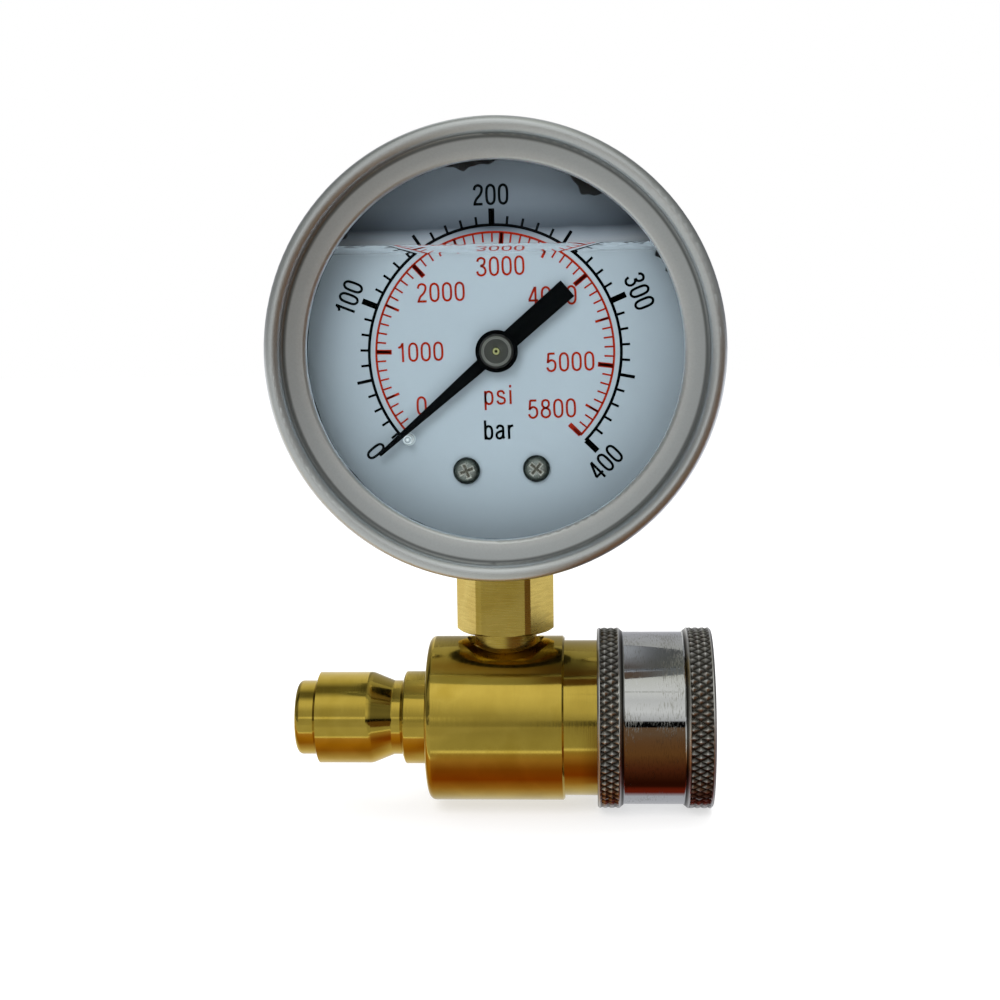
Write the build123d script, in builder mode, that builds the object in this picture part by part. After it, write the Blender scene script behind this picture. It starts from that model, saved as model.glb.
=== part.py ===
from build123d import *
import os
from math import acos, asin, atan2, cos, degrees, pi, radians, sin, sqrt, tan

# Pressure gauge for a washer's hose: a glycerine filled dial gauge on a turned brass tee.
# The tee ends in a quick plug on its left and in a ball lock socket with a sleeve on its right.
# +X runs from the plug to the socket, +Z goes up to the gauge, and the dial faces -Y.
# The origin is on the flow axis, at the middle of the plug's straight land.
os.makedirs("parts", exist_ok=True)

# Plug end of the tee, from the nose to the body
flow_radius = 4.0
nose_radius = 6.0
nose_length = 3.0
nose_round = 0.8
land_radius = 7.4
land_length = 8.6
land_chamfer = 0.6
shoulder_length = 3.5
shoulder_round = 2.2
neck_radius = 6.0
neck_length = 1.4
neck_round = 0.5
collar_radius = 7.5
collar_ramp = 0.6
collar_length = 4.0
collar_round = 0.3

# Body of the tee and its port for the stem
body_radius = 13.25
body_length = 21.8
body_round = 1.0
body_chamfer = 0.3
stem_from_body_face = 12.3
port_mouth_radius = 6.2
port_mouth_depth = 1.8
port_radius = 5.9
port_depth = 8.8
port_feed_radius = 2.0

# Socket end of the tee, bored for a plug like the one at the other end
shank_radius = 12.5
shank_length = 6.7
barrel_radius = 10.0
barrel_length = 16.8
barrel_chamfer = 0.4
plug_clearance = 0.2
mouth_chamfer = 0.5
nose_seat_margin = 0.3
mate_gap = 0.2
seal_section_radius = 0.95
seal_squeeze = 0.15
seal_groove_length = 2.4
seal_from_face = 12.5

# Locking balls
ball_count = 6
ball_radius = 1.98
ball_land_gap = 0.06
ball_neck_gap = 0.06
ball_hole_clearance = 0.08
ball_hole_taper = 12
ball_release_gap = 0.06

# Release sleeve, its spring and the ring that holds it
sleeve_travel = 3.6
sleeve_slide_clearance = 0.08
sleeve_skirt_clearance = 0.15
sleeve_overlap = 1.5
sleeve_middle_radius = 13.85
grip_radius = 14.5
rear_grip_length = 3.7
front_grip_length = 4.2
grip_round = 0.4
cove_radius = 0.55
sleeve_land_length = 2.4
sleeve_mouth_chamfer = 0.4
recess_depth = 0.13
ring_width = 1.0
ring_depth = 0.8
ring_step_gap = 0.3
ring_clearance = 0.05
ring_mouth_angle = 24
spring_wire_radius = 0.5
spring_turns = 4.5
spring_clearance = 0.25

# Stem: thread, neck, hexagon and collar
stem_thread_clearance = 0.1
stem_thread_length = 7.0
stem_neck_radius = 5.0
hex_lift = 1.25
hex_across_flats = 14.0
hex_bar_radius = 7.8
hex_height = 9.5
hex_chamfer = 0.7
stem_collar_radius = 8.1
stem_collar_height = 4.5
stem_bore_radius = 1.6

# Case, lens and bezel, with forward distances counted from the stem's axis to the viewer
case_radius = 31.0
case_sheet = 0.8
case_back_round = 3.0
case_front = 16.7
case_back = -12.5
flange_width = 2.1
flange_round = 0.4
gasket_thickness = 0.8
gasket_reveal = 0.4
gasket_wall = 0.5
lens_thickness = 2.0
lens_clearance = 0.06
lens_chamfer = 0.15
bezel_clearance = 0.3
bezel_width = 6.1
bezel_sheet = 0.6
bezel_lip = 0.8
bezel_lip_round = 0.7
bezel_band_rise = 0.6
bezel_roll_width = 2.4
bezel_roll_rise = 1.6
bezel_roll_round = 1.15
bezel_groove_round = 0.5
bezel_crimp_clearance = 0.4
bezel_crimp_round = 0.9

# Dial and what stands on it
dial_front = 12.9
dial_sheet = 0.5
dial_edge_clearance = 0.2
dial_tilt = 1.4
dial_hole_radius = 2.0
dial_screw_spacing = 10.66
dial_screw_drop = 18.0
dial_screw_head_radius = 2.05
dial_screw_head_height = 1.2
dial_screw_shank_radius = 0.95
dial_post_radius = 2.2
screw_clearance = 0.1
stop_pin_radius = 0.6
stop_pin_height = 2.1
stop_pin_reach = 19.0
stop_pin_gap = 0.05

# Pointer: angles are counted anticlockwise from +X as the viewer sees the dial
pointer_rest_angle = 219.3
pointer_full_angle = -45.0
pointer_plane = 14.25
pointer_sheet = 0.5
pointer_tip_reach = 23.8
pointer_tip_width = 0.6
pointer_root_width = 2.1
pointer_tail_reach = 14.2
pointer_tail_width = 3.1
pointer_tail_root_width = 2.9
pointer_hub_radius = 3.2
cap_radius = 2.6
cap_height = 0.75
cap_chamfer = 0.25
bush_radius = 1.6
bush_length = 0.9

# Movement: two plates, pillars, pinion, sector, link and hairspring
gear_module = 0.2
pinion_teeth = 12
gear_ratio = 10
pressure_angle = 20
gear_backlash = 0.03
pinion_addendum = 0.9
sector_addendum = 0.7
gear_dedendum = 1.1
plate_width = 19.0
plate_top = 7.0
front_plate_bottom = -21.0
rear_plate_gap = 0.1
plate_sheet = 1.0
plate_round = 2.0
plate_gap = 6.0
front_plate_front = 9.5
pillar_radius = 1.25
pillar_inset = 1.5
pillar_drop = 2.5
pillar_bottom = -12.0
arbor_radius = 0.75
pivot_radius = 0.5
front_pivot_radius = 0.6
pivot_clearance = 0.05
shoulder_gap = 0.1
arbor_nose_reach = 15.85
arbor_nose_radius = 0.54
collet_radius = 1.25
collet_length = 0.8
sector_sheet = 0.8
sector_back = 6.4
sector_rim_depth = 1.6
sector_hub_radius = 2.0
sector_first_tooth = -2
sector_last_tooth = 11
sector_rim_margin = 2.5
sector_arm_width = 1.5
pinion_back = 6.0
pinion_face = 1.6
tail_reach = 7.0
tail_middle_angle = -70
tail_width = 1.8
eye_radius = 1.3
linkage_pin_radius = 0.6
loose_eye_radius = 0.85
link_length = 13.0
link_width = 1.4
link_sheet = 0.6
link_back = 5.6
pin_head_radius = 1.0
pin_head_height = 0.3
link_gap = 0.1
ear_sheet = 0.8
ear_back = 4.6
hairspring_turns = 4
hairspring_inner_radius = 1.3
hairspring_pitch = 0.95
hairspring_strip = 0.16
hairspring_width = 0.6
hairspring_back = 4.3
spiral_points_per_turn = 12
hairspring_stud_radius = 0.5
small_head_radius = 1.5
small_head_height = 0.7
small_shank_radius = 0.7
small_screw_length = 3.0

# Block inside the case, Bourdon tube and its end piece
block_front = 1.5
block_back = -7.5
block_width = 20.0
block_height = 4.0
base_width = 33.0
base_depth = 16.6
base_height = 7.7
base_clearance = 0.05
block_screw_spacing = 12.0
block_screw_inset = 1.9
tube_inset = 7.7
tube_thickness = 3.0
tube_width = 8.0
tube_wall = 0.6
tube_middle = -3.0
tube_root_angle = 242
tube_pocket_start = 200
tube_end_angle = -30
tube_fit = 0.02
tip_length = 4.0
tip_wall = 1.0
tip_plug_length = 1.5

# Case screws, stem seal and filler plug
case_screw_inset = 2.8
case_screw_head_radius = 2.3
case_screw_head_height = 1.3
case_screw_shank_radius = 1.4
case_screw_length = 4.5
stem_seal_radius = 9.2
stem_seal_lip_radius = 10.4
stem_seal_lip = 0.8
filler_forward = 3.0
filler_hole_radius = 4.5
filler_head_radius = 6.0
filler_head_height = 1.5
filler_inner_height = 1.2
filler_round = 0.5
rubber_fit = 0.05
head_taper = 12

# Places along the flow axis
land_end = land_length / 2
nose_end = -land_end - land_chamfer - nose_length
neck_start = land_end + shoulder_length
neck_end = neck_start + neck_length
collar_start = neck_end + collar_ramp
body_start = collar_start + collar_length
body_end = body_start + body_length
shank_end = body_end + shank_length
socket_face = shank_end + barrel_length
stem_x = body_start + stem_from_body_face
neck_middle = (neck_start + neck_end) / 2
ball_plane = socket_face + mate_gap - (body_start - neck_middle)

# The socket's bores follow the plug that it takes
socket_bore_radius = land_radius + plug_clearance
nose_bore_radius = nose_radius + plug_clearance
land_to_neck = neck_middle + land_end + land_chamfer
nose_bore_start = ball_plane - land_to_neck - nose_length - nose_seat_margin
nose_bore_end = ball_plane - land_to_neck - nose_seat_margin
seal_radius = land_radius - seal_squeeze + seal_section_radius
seal_groove_radius = seal_radius + seal_section_radius + rubber_fit
seal_x = socket_face - seal_from_face

# Balls and the sleeve's ramp, which moves the balls out as the sleeve is drawn back
ball_reach = neck_radius + ball_neck_gap + ball_radius
ball_travel = land_radius + ball_release_gap - (ball_reach - ball_radius)
sleeve_bore_radius = barrel_radius + sleeve_slide_clearance
ramp_slope = ball_travel / sleeve_travel
ramp_radius_at_ball = ball_reach + (ball_radius + ball_land_gap) * sqrt(1 + ramp_slope**2)
ramp_start = ball_plane - (ramp_radius_at_ball - sleeve_bore_radius) / ramp_slope
recess_radius = ball_reach + ball_radius + ball_travel + recess_depth
ramp_end = ball_plane + (recess_radius - ramp_radius_at_ball) / ramp_slope
ring_radius = recess_radius - ring_step_gap
ring_back = ball_plane + (ring_radius - ramp_radius_at_ball) / ramp_slope + ring_clearance
sleeve_start = shank_end - sleeve_overlap
sleeve_end = socket_face
skirt_radius = shank_radius + sleeve_skirt_clearance
sleeve_land_start = ball_plane - sleeve_land_length

# Places up the stem
hex_start = body_radius + hex_lift
hex_end = hex_start + hex_height
gauge_z = hex_end + stem_collar_height + case_radius
case_inner_radius = case_radius - case_sheet
port_floor = body_radius - port_depth
stem_thread_radius = port_radius - stem_thread_clearance
stem_thread_start = port_floor + screw_clearance
stem_thread_end = stem_thread_start + stem_thread_length

# Planes of the gauge: the dial plane's offset is the distance forward of the stem's axis
gauge_centre = (stem_x, 0, gauge_z)
dial_plane = Plane(origin=gauge_centre, x_dir=(1, 0, 0), z_dir=(0, -1, 0))
gauge_axis = Axis(gauge_centre, (0, -1, 0))

# Radii that follow the case's, outward to the bezel and back in to the window
flange_radius = case_radius + flange_width
bezel_radius = flange_radius + bezel_clearance + bezel_sheet
window_radius = bezel_radius - bezel_width
gasket_inner_radius = window_radius - gasket_reveal
lens_radius = flange_radius - gasket_wall - lens_clearance
case_screw_angle = degrees(asin((base_width / 2 - case_screw_inset) / case_inner_radius))

# Block and tube, placed from the inside of the case
base_top = base_height - case_inner_radius
block_top = base_top + block_height
block_screw_height = block_top - block_screw_inset
rear_plate_bottom = base_top + rear_plate_gap
tube_radius = case_inner_radius - tube_inset

# Stack of the gauge from the case flange to the front of the lens
flange_back = case_front - case_sheet
lens_back = case_front + gasket_thickness
lens_front = lens_back + lens_thickness
dial_radius = case_inner_radius - dial_edge_clearance
dial_back = dial_front - dial_sheet
front_plate_back = front_plate_front - plate_sheet
rear_plate_front = front_plate_back - plate_gap
rear_plate_back = rear_plate_front - plate_sheet

# Gears: the sector's arbor is straight below the pinion
pinion_radius = gear_module * pinion_teeth / 2
sector_radius = pinion_radius * gear_ratio
sector_teeth = pinion_teeth * gear_ratio
sector_pivot = (0, -pinion_radius - sector_radius)
pointer_travel = pointer_rest_angle - pointer_full_angle
sector_travel = pointer_travel / gear_ratio
sector_tooth_step = 360 / sector_teeth

# Linkage at rest
tail_rest_angle = tail_middle_angle - sector_travel / 2
link_angle = tail_middle_angle + 90


def turned(angle, reach, centre=(0, 0)):
    """Point at a reach from a centre, at an angle in degrees anticlockwise from +X."""
    return (centre[0] + reach * cos(radians(angle)), centre[1] + reach * sin(radians(angle)))


def radial_plane(angle):
    """Plane through the gauge's axis at an angle, with local x outward and local y forward."""
    outward = (cos(radians(angle)), 0, sin(radians(angle)))
    return Plane(origin=gauge_centre, x_dir=outward, z_dir=(outward[2], 0, -outward[0]))


def case_screw_plane(side):
    """Plane at the gauge's centre, facing out through one of the case screws."""
    turn = radians(side * case_screw_angle)
    return Plane(origin=gauge_centre, x_dir=(0, 1, 0), z_dir=(sin(turn), 0, -cos(turn)))


def pointer_width_at(reach):
    """Width of the pointer's blade at a distance from its arbor."""
    return pointer_root_width + (pointer_tip_width - pointer_root_width) * reach / pointer_tip_reach


def rounded_outline(corners, close=True):
    """Outline through corners, each given as its two coordinates and its rounding radius."""
    rounding = [corner[2] for corner in corners]
    if not close:
        rounding = rounding[1:-1]
    FilletPolyline(*[corner[:2] for corner in corners], radius=rounding, close=close)


tail_pin_place = turned(tail_rest_angle, tail_reach, sector_pivot)
tip_pin_place = turned(link_angle, link_length, tail_pin_place)
dial_screw_places = [
    turned(dial_tilt, side * dial_screw_spacing / 2, turned(dial_tilt - 90, dial_screw_drop))
    for side in (-1, 1)
]
tip_travel = 2 * tail_reach * sin(radians(sector_travel / 2))

# Tee: one turned piece of brass, with the plug, the body and the socket
with BuildPart() as tee_body:
    with BuildSketch(Plane.XZ):
        with BuildLine():
            rounded_outline(
                [
                    (nose_end, flow_radius, 0),
                    (nose_end, nose_radius, nose_round),
                    (nose_end + nose_length, nose_radius, 0),
                    (-land_end, land_radius, 0),
                    (land_end, land_radius, shoulder_round),
                    (neck_start, neck_radius, neck_round),
                    (neck_end, neck_radius, 0),
                    (collar_start, collar_radius, collar_round),
                    (body_start, collar_radius, 0),
                    (body_start, body_radius, body_round),
                    (body_end - body_chamfer, body_radius, 0),
                    (body_end, body_radius - body_chamfer, 0),
                    (body_end, shank_radius, 0),
                    (shank_end, shank_radius, 0),
                    (shank_end, barrel_radius, 0),
                    (ring_back - ring_clearance, barrel_radius, 0),
                    (ring_back - ring_clearance, barrel_radius - ring_depth, 0),
                    (ring_back + ring_width + ring_clearance, barrel_radius - ring_depth, 0),
                    (ring_back + ring_width + ring_clearance, barrel_radius, 0),
                    (socket_face - barrel_chamfer, barrel_radius, 0),
                    (socket_face, barrel_radius - barrel_chamfer, 0),
                    (socket_face, socket_bore_radius + mouth_chamfer, 0),
                    (socket_face - mouth_chamfer, socket_bore_radius, 0),
                    (seal_x + seal_groove_length / 2, socket_bore_radius, 0),
                    (seal_x + seal_groove_length / 2, seal_groove_radius, 0),
                    (seal_x - seal_groove_length / 2, seal_groove_radius, 0),
                    (seal_x - seal_groove_length / 2, socket_bore_radius, 0),
                    (nose_bore_end, socket_bore_radius, 0),
                    (nose_bore_end, nose_bore_radius, 0),
                    (nose_bore_start, nose_bore_radius, 0),
                    (nose_bore_start, flow_radius, 0),
                ]
            )
        make_face()
    revolve(axis=Axis.X)
    with BuildSketch(Plane.XY.offset(port_floor)):
        with Locations((stem_x, 0)):
            Circle(port_radius)
    extrude(amount=port_depth, mode=Mode.SUBTRACT)
    with BuildSketch(Plane.XY.offset(body_radius - port_mouth_depth)):
        with Locations((stem_x, 0)):
            Circle(port_mouth_radius)
    extrude(amount=port_mouth_depth, mode=Mode.SUBTRACT)
    with BuildSketch(Plane.XY):
        with Locations((stem_x, 0)):
            Circle(port_feed_radius)
    extrude(amount=port_floor, mode=Mode.SUBTRACT)
    hole_start = ball_reach - ball_radius
    hole_depth = barrel_radius - hole_start
    hole_slope = tan(radians(ball_hole_taper))
    hole_inner_radius = ball_radius + ball_hole_clearance - hole_slope * ball_radius
    for number in range(ball_count):
        turn = 360 * number / ball_count
        outward = (0, cos(radians(turn)), sin(radians(turn)))
        hole_plane = Plane(origin=(ball_plane, 0, 0), x_dir=(1, 0, 0), z_dir=outward)
        with Locations(hole_plane.offset(hole_start)):
            Cone(
                hole_inner_radius,
                hole_inner_radius + hole_slope * hole_depth,
                hole_depth,
                align=(Align.CENTER, Align.CENTER, Align.MIN),
                mode=Mode.SUBTRACT,
            )

tee_body.part.label = "tee_body"
export_step(tee_body.part, "parts/tee_body.step")

# Seal ring inside the socket
with BuildPart() as socket_seal:
    with BuildSketch(Plane.XZ):
        with Locations((seal_x, seal_radius)):
            Circle(seal_section_radius)
    revolve(axis=Axis.X)

socket_seal.part.label = "socket_seal"
export_step(socket_seal.part, "parts/socket_seal.step")

# Locking balls, each in its own tapered hole
for number in range(ball_count):
    turn = 360 * number / ball_count
    with BuildPart() as locking_ball:
        with Locations(
            (ball_plane, ball_reach * cos(radians(turn)), ball_reach * sin(radians(turn)))
        ):
            Sphere(ball_radius)
    locking_ball.part.label = f"locking_ball_{number + 1}"
    export_step(locking_ball.part, f"parts/locking_ball_{number + 1}.step")

# Release sleeve: a plain middle between two raised grip rings, with the ramp inside
with BuildPart() as release_sleeve:
    rear_grip_end = sleeve_start + rear_grip_length
    front_grip_start = sleeve_end - front_grip_length
    with BuildSketch(Plane.XZ):
        with BuildLine():
            rounded_outline(
                [
                    (sleeve_start, skirt_radius, 0),
                    (sleeve_start, grip_radius, grip_round),
                    (rear_grip_end, grip_radius, grip_round),
                    (rear_grip_end + cove_radius, sleeve_middle_radius, 0),
                    (front_grip_start - cove_radius, sleeve_middle_radius, 0),
                    (front_grip_start, grip_radius, grip_round),
                    (sleeve_end, grip_radius, grip_round),
                    (sleeve_end, recess_radius + sleeve_mouth_chamfer, 0),
                    (sleeve_end - sleeve_mouth_chamfer, recess_radius, 0),
                    (ramp_end, recess_radius, 0),
                    (ramp_start, sleeve_bore_radius, 0),
                    (sleeve_land_start, sleeve_bore_radius, 0),
                    (sleeve_land_start, skirt_radius, 0),
                ]
            )
        make_face()
    revolve(axis=Axis.X)

release_sleeve.part.label = "release_sleeve"
export_step(release_sleeve.part, "parts/release_sleeve.step")

# Coil spring between the shank and the sleeve's land
with BuildPart() as sleeve_spring:
    coil_radius = (barrel_radius + skirt_radius) / 2
    coil_start = shank_end + spring_clearance + spring_wire_radius
    coil_length = sleeve_land_start - shank_end - 2 * (spring_clearance + spring_wire_radius)
    with BuildLine() as coil:
        Helix(
            pitch=coil_length / spring_turns,
            height=coil_length,
            radius=coil_radius,
            center=(coil_start, 0, 0),
            direction=(1, 0, 0),
        )
    with BuildSketch(Plane(origin=coil.line @ 0, z_dir=coil.line % 0)):
        Circle(spring_wire_radius)
    sweep(path=coil.line, is_frenet=True)

sleeve_spring.part.label = "sleeve_spring"
export_step(sleeve_spring.part, "parts/sleeve_spring.step")

# Open ring that stops the sleeve at the front
with BuildPart() as snap_ring:
    with BuildSketch(Plane.YZ.offset(ring_back)):
        Circle(ring_radius)
        Circle(barrel_radius - ring_depth + ring_clearance, mode=Mode.SUBTRACT)
        with BuildLine():
            Polyline(
                (0, 0),
                turned(-90 - ring_mouth_angle / 2, 2 * ring_radius),
                turned(-90 + ring_mouth_angle / 2, 2 * ring_radius),
                close=True,
            )
        make_face(mode=Mode.SUBTRACT)
    extrude(amount=ring_width)

snap_ring.part.label = "snap_ring"
export_step(snap_ring.part, "parts/snap_ring.step")

# Stem: one piece of brass from the thread up to the block inside the case
with BuildPart() as stem_block:
    case_screw_hole_radius = case_screw_shank_radius + screw_clearance
    base_radius = case_inner_radius - base_clearance
    # Base, shaped to the inside of the case
    with BuildSketch(dial_plane.offset(-base_depth / 2)):
        Circle(base_radius)
        with Locations((0, base_top - case_radius / 2)):
            Rectangle(base_width, case_radius, mode=Mode.INTERSECT)
    extrude(amount=base_depth)
    with BuildSketch(dial_plane.offset(block_back)):
        with Locations((0, (block_top + base_top) / 2)):
            Rectangle(block_width, block_top - base_top)
    extrude(amount=block_front - block_back)
    # Turned stem below the base
    with BuildSketch(Plane(origin=(stem_x, 0, 0), x_dir=(1, 0, 0), z_dir=(0, -1, 0))):
        with BuildLine():
            Polyline(
                (0, stem_thread_start),
                (stem_thread_radius - hex_chamfer, stem_thread_start),
                (stem_thread_radius, stem_thread_start + hex_chamfer),
                (stem_thread_radius, stem_thread_end),
                (stem_neck_radius, stem_thread_end + hex_chamfer),
                (stem_neck_radius, hex_start),
                (hex_bar_radius - hex_chamfer, hex_start),
                (hex_bar_radius, hex_start + hex_chamfer / 2),
                (hex_bar_radius, hex_end - hex_chamfer / 2),
                (stem_collar_radius, hex_end),
                (stem_collar_radius, gauge_z + base_top),
                (0, gauge_z + base_top),
                close=True,
            )
        make_face()
    revolve(axis=Axis((stem_x, 0, 0), (0, 0, 1)))
    # Six flats cut round the hexagon
    with BuildSketch(Plane.XY.offset(hex_start)):
        with Locations((stem_x, 0)):
            Circle(2 * hex_bar_radius)
            RegularPolygon(hex_across_flats / 2, 6, major_radius=False, mode=Mode.SUBTRACT)
    extrude(amount=hex_height, mode=Mode.SUBTRACT)
    # Pressure bore up to the tube's root
    with BuildSketch(Plane.XY.offset(stem_thread_start)):
        with Locations((stem_x, 0)):
            Circle(stem_bore_radius)
    extrude(amount=gauge_z - stem_thread_start + base_top, mode=Mode.SUBTRACT)
    # Pocket that the tube's root is brazed into
    with BuildSketch(radial_plane(tube_pocket_start)):
        with Locations((tube_radius, tube_middle)):
            Rectangle(tube_thickness + 2 * tube_fit, tube_width + 2 * tube_fit)
    revolve(
        axis=gauge_axis,
        revolution_arc=tube_root_angle + degrees(tube_fit / tube_radius) - tube_pocket_start,
        mode=Mode.SUBTRACT,
    )
    # Tapped holes: two for the case, two for the movement
    for side in (-1, 1):
        with BuildSketch(case_screw_plane(side).offset(base_radius - case_screw_length)):
            Circle(case_screw_hole_radius)
        extrude(amount=case_screw_length, mode=Mode.SUBTRACT)
    with BuildSketch(dial_plane.offset(block_front)):
        with GridLocations(block_screw_spacing, 0, 2, 1):
            with Locations((0, block_screw_height)):
                Circle(small_shank_radius + screw_clearance)
    extrude(amount=-small_screw_length, mode=Mode.SUBTRACT)

stem_block.part.label = "stem_block"
export_step(stem_block.part, "parts/stem_block.step")

# Case: a pressed steel cup with a flange at its front
with BuildPart() as case:
    with BuildSketch(radial_plane(0)):
        with BuildLine():
            rounded_outline(
                [
                    (flange_radius, flange_back, 0),
                    (case_radius, flange_back, flange_round),
                    (case_radius, case_back, case_back_round),
                    (0, case_back, 0),
                ],
                close=False,
            )
            offset(amount=case_sheet, side=Side.RIGHT)
        make_face()
    revolve(axis=gauge_axis)
    with BuildSketch(Plane.XY.offset(gauge_z)):
        with Locations((stem_x, -filler_forward)):
            Circle(filler_hole_radius)
    extrude(amount=case_radius + case_sheet, mode=Mode.SUBTRACT)
    with BuildSketch(Plane.XY.offset(gauge_z)):
        with Locations((stem_x, 0)):
            Circle(stem_seal_radius)
    extrude(amount=-case_radius - case_sheet, mode=Mode.SUBTRACT)
    for side in (-1, 1):
        with BuildSketch(case_screw_plane(side)):
            Circle(case_screw_hole_radius)
        extrude(amount=case_radius + case_sheet, mode=Mode.SUBTRACT)

case.part.label = "case"
export_step(case.part, "parts/case.step")

# Screws that hold the case to the block's base
with BuildPart() as case_screws:
    for side in (-1, 1):
        screw_plane = case_screw_plane(side)
        with BuildSketch(screw_plane.offset(case_radius)):
            Circle(case_screw_head_radius)
        extrude(amount=case_screw_head_height, taper=head_taper)
        with BuildSketch(screw_plane.offset(case_radius)):
            Circle(case_screw_shank_radius)
        extrude(amount=screw_clearance - case_screw_length - case_radius + base_radius)

case_screws.part.label = "case_screws"
export_step(case_screws.part, "parts/case_screws.step")

# Rubber seal round the stem, with its lip against the outside of the case
with BuildPart() as stem_seal:
    with BuildSketch(Plane.XY):
        with Locations((stem_x, 0)):
            Circle(stem_seal_lip_radius)
    extrude(amount=gauge_z)
    with BuildSketch(dial_plane):
        Circle(case_radius + rubber_fit + stem_seal_lip)
    extrude(amount=stem_seal_lip_radius, both=True, mode=Mode.INTERSECT)
    with BuildSketch(dial_plane):
        Circle(case_radius + rubber_fit)
    extrude(amount=stem_seal_lip_radius, both=True, mode=Mode.SUBTRACT)
    with BuildSketch(Plane.XY):
        with Locations((stem_x, 0)):
            Circle(stem_seal_radius - rubber_fit)
    extrude(amount=gauge_z)
    with BuildSketch(dial_plane):
        Circle(base_radius + rubber_fit)
    extrude(amount=stem_seal_lip_radius, both=True, mode=Mode.SUBTRACT)
    with BuildSketch(Plane.XY):
        with Locations((stem_x, 0)):
            Circle(2 * stem_seal_lip_radius)
    extrude(amount=gauge_z - case_radius - rubber_fit - stem_seal_lip, mode=Mode.SUBTRACT)
    with BuildSketch(Plane.XY):
        with Locations((stem_x, 0)):
            Circle(stem_collar_radius + rubber_fit)
    extrude(amount=gauge_z, mode=Mode.SUBTRACT)

stem_seal.part.label = "stem_seal"
export_step(stem_seal.part, "parts/stem_seal.step")

# Rubber plug that closes the filler hole at the top of the case
with BuildPart() as filler_plug:
    with BuildSketch(Plane.XY.offset(gauge_z)):
        with Locations((stem_x, -filler_forward)):
            Circle(filler_head_radius)
    extrude(amount=2 * case_radius)
    with BuildSketch(dial_plane):
        Circle(case_radius + rubber_fit + filler_head_height)
    extrude(amount=2 * filler_head_radius, both=True, mode=Mode.INTERSECT)
    with BuildSketch(dial_plane):
        Circle(case_radius + rubber_fit)
    extrude(amount=2 * filler_head_radius, both=True, mode=Mode.SUBTRACT)
    filler_base = gauge_z + case_inner_radius - rubber_fit - filler_inner_height
    with BuildSketch(Plane.XY.offset(filler_base)):
        with Locations((stem_x, -filler_forward)):
            Circle(filler_hole_radius - rubber_fit)
    extrude(amount=case_sheet + filler_head_height / 2 + filler_inner_height)
    fillet(filler_plug.faces().sort_by(Axis.Z)[-1].edges(), filler_round)

filler_plug.part.label = "filler_plug"
export_step(filler_plug.part, "parts/filler_plug.step")

# Rubber gasket, L shaped, behind the lens and round its edge
with BuildPart() as lens_gasket:
    with BuildSketch(radial_plane(0)):
        with BuildLine():
            Polyline(
                (gasket_inner_radius, case_front),
                (flange_radius, case_front),
                (flange_radius, lens_front),
                (lens_radius + lens_clearance, lens_front),
                (lens_radius + lens_clearance, lens_back),
                (gasket_inner_radius, lens_back),
                close=True,
            )
        make_face()
    revolve(axis=gauge_axis)

lens_gasket.part.label = "lens_gasket"
export_step(lens_gasket.part, "parts/lens_gasket.step")

# Flat lens
with BuildPart() as lens:
    with BuildSketch(dial_plane.offset(lens_back)):
        Circle(lens_radius)
    extrude(amount=lens_thickness)
    chamfer(lens.edges(), lens_chamfer)

lens.part.label = "lens"
export_step(lens.part, "parts/lens.step")

# Bezel: a rolled ring of steel sheet, crimped behind the case's flange
with BuildPart() as bezel_ring:
    lip_front = lens_front + bezel_lip
    band_outer = bezel_radius - bezel_roll_width
    groove_front = lip_front + bezel_band_rise
    with BuildSketch(radial_plane(0)):
        with BuildLine():
            rounded_outline(
                [
                    (window_radius, lens_front, 0),
                    (window_radius, lip_front, bezel_lip_round),
                    (band_outer, groove_front, bezel_groove_round),
                    (band_outer, groove_front + bezel_roll_rise, bezel_roll_round),
                    (bezel_radius, groove_front + bezel_roll_rise, bezel_roll_round),
                    (bezel_radius, flange_back - bezel_sheet, bezel_crimp_round),
                    (case_radius + bezel_crimp_clearance, flange_back - bezel_sheet, 0),
                ],
                close=False,
            )
            offset(amount=bezel_sheet, side=Side.RIGHT)
        make_face()
    revolve(axis=gauge_axis)

bezel_ring.part.label = "bezel_ring"
export_step(bezel_ring.part, "parts/bezel_ring.step")

# Dial: a printed sheet, set a little askew on its two screws
with BuildPart() as dial_plate:
    stop_pin_turn = degrees(
        (pointer_width_at(stop_pin_reach) / 2 + stop_pin_radius + stop_pin_gap) / stop_pin_reach
    )
    stop_pin_place = turned(pointer_rest_angle + dial_tilt + stop_pin_turn, stop_pin_reach)
    with BuildSketch(dial_plane.offset(dial_back)):
        Circle(dial_radius)
        Circle(dial_hole_radius, mode=Mode.SUBTRACT)
        with Locations(*dial_screw_places):
            Circle(dial_screw_shank_radius + screw_clearance, mode=Mode.SUBTRACT)
        with Locations(stop_pin_place):
            Circle(stop_pin_radius, mode=Mode.SUBTRACT)
    extrude(amount=dial_sheet)

dial_plate.part.label = "dial_plate"
export_step(dial_plate.part, "parts/dial_plate.step")

# Screws that hold the dial, seen under the scale
with BuildPart() as dial_screws:
    with BuildSketch(dial_plane.offset(dial_front)):
        with Locations(*dial_screw_places):
            Circle(dial_screw_head_radius)
    extrude(amount=dial_screw_head_height, taper=head_taper)
    with BuildSketch(dial_plane.offset(dial_front)):
        with Locations(*dial_screw_places):
            Circle(dial_screw_shank_radius)
    extrude(amount=front_plate_back - dial_front)

dial_screws.part.label = "dial_screws"
export_step(dial_screws.part, "parts/dial_screws.step")

# Posts that carry the dial in front of the movement
with BuildPart() as dial_posts:
    with BuildSketch(dial_plane.offset(front_plate_front)):
        with Locations(*dial_screw_places):
            Circle(dial_post_radius)
            Circle(dial_screw_shank_radius + screw_clearance, mode=Mode.SUBTRACT)
    extrude(amount=dial_back - front_plate_front)

dial_posts.part.label = "dial_posts"
export_step(dial_posts.part, "parts/dial_posts.step")

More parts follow.
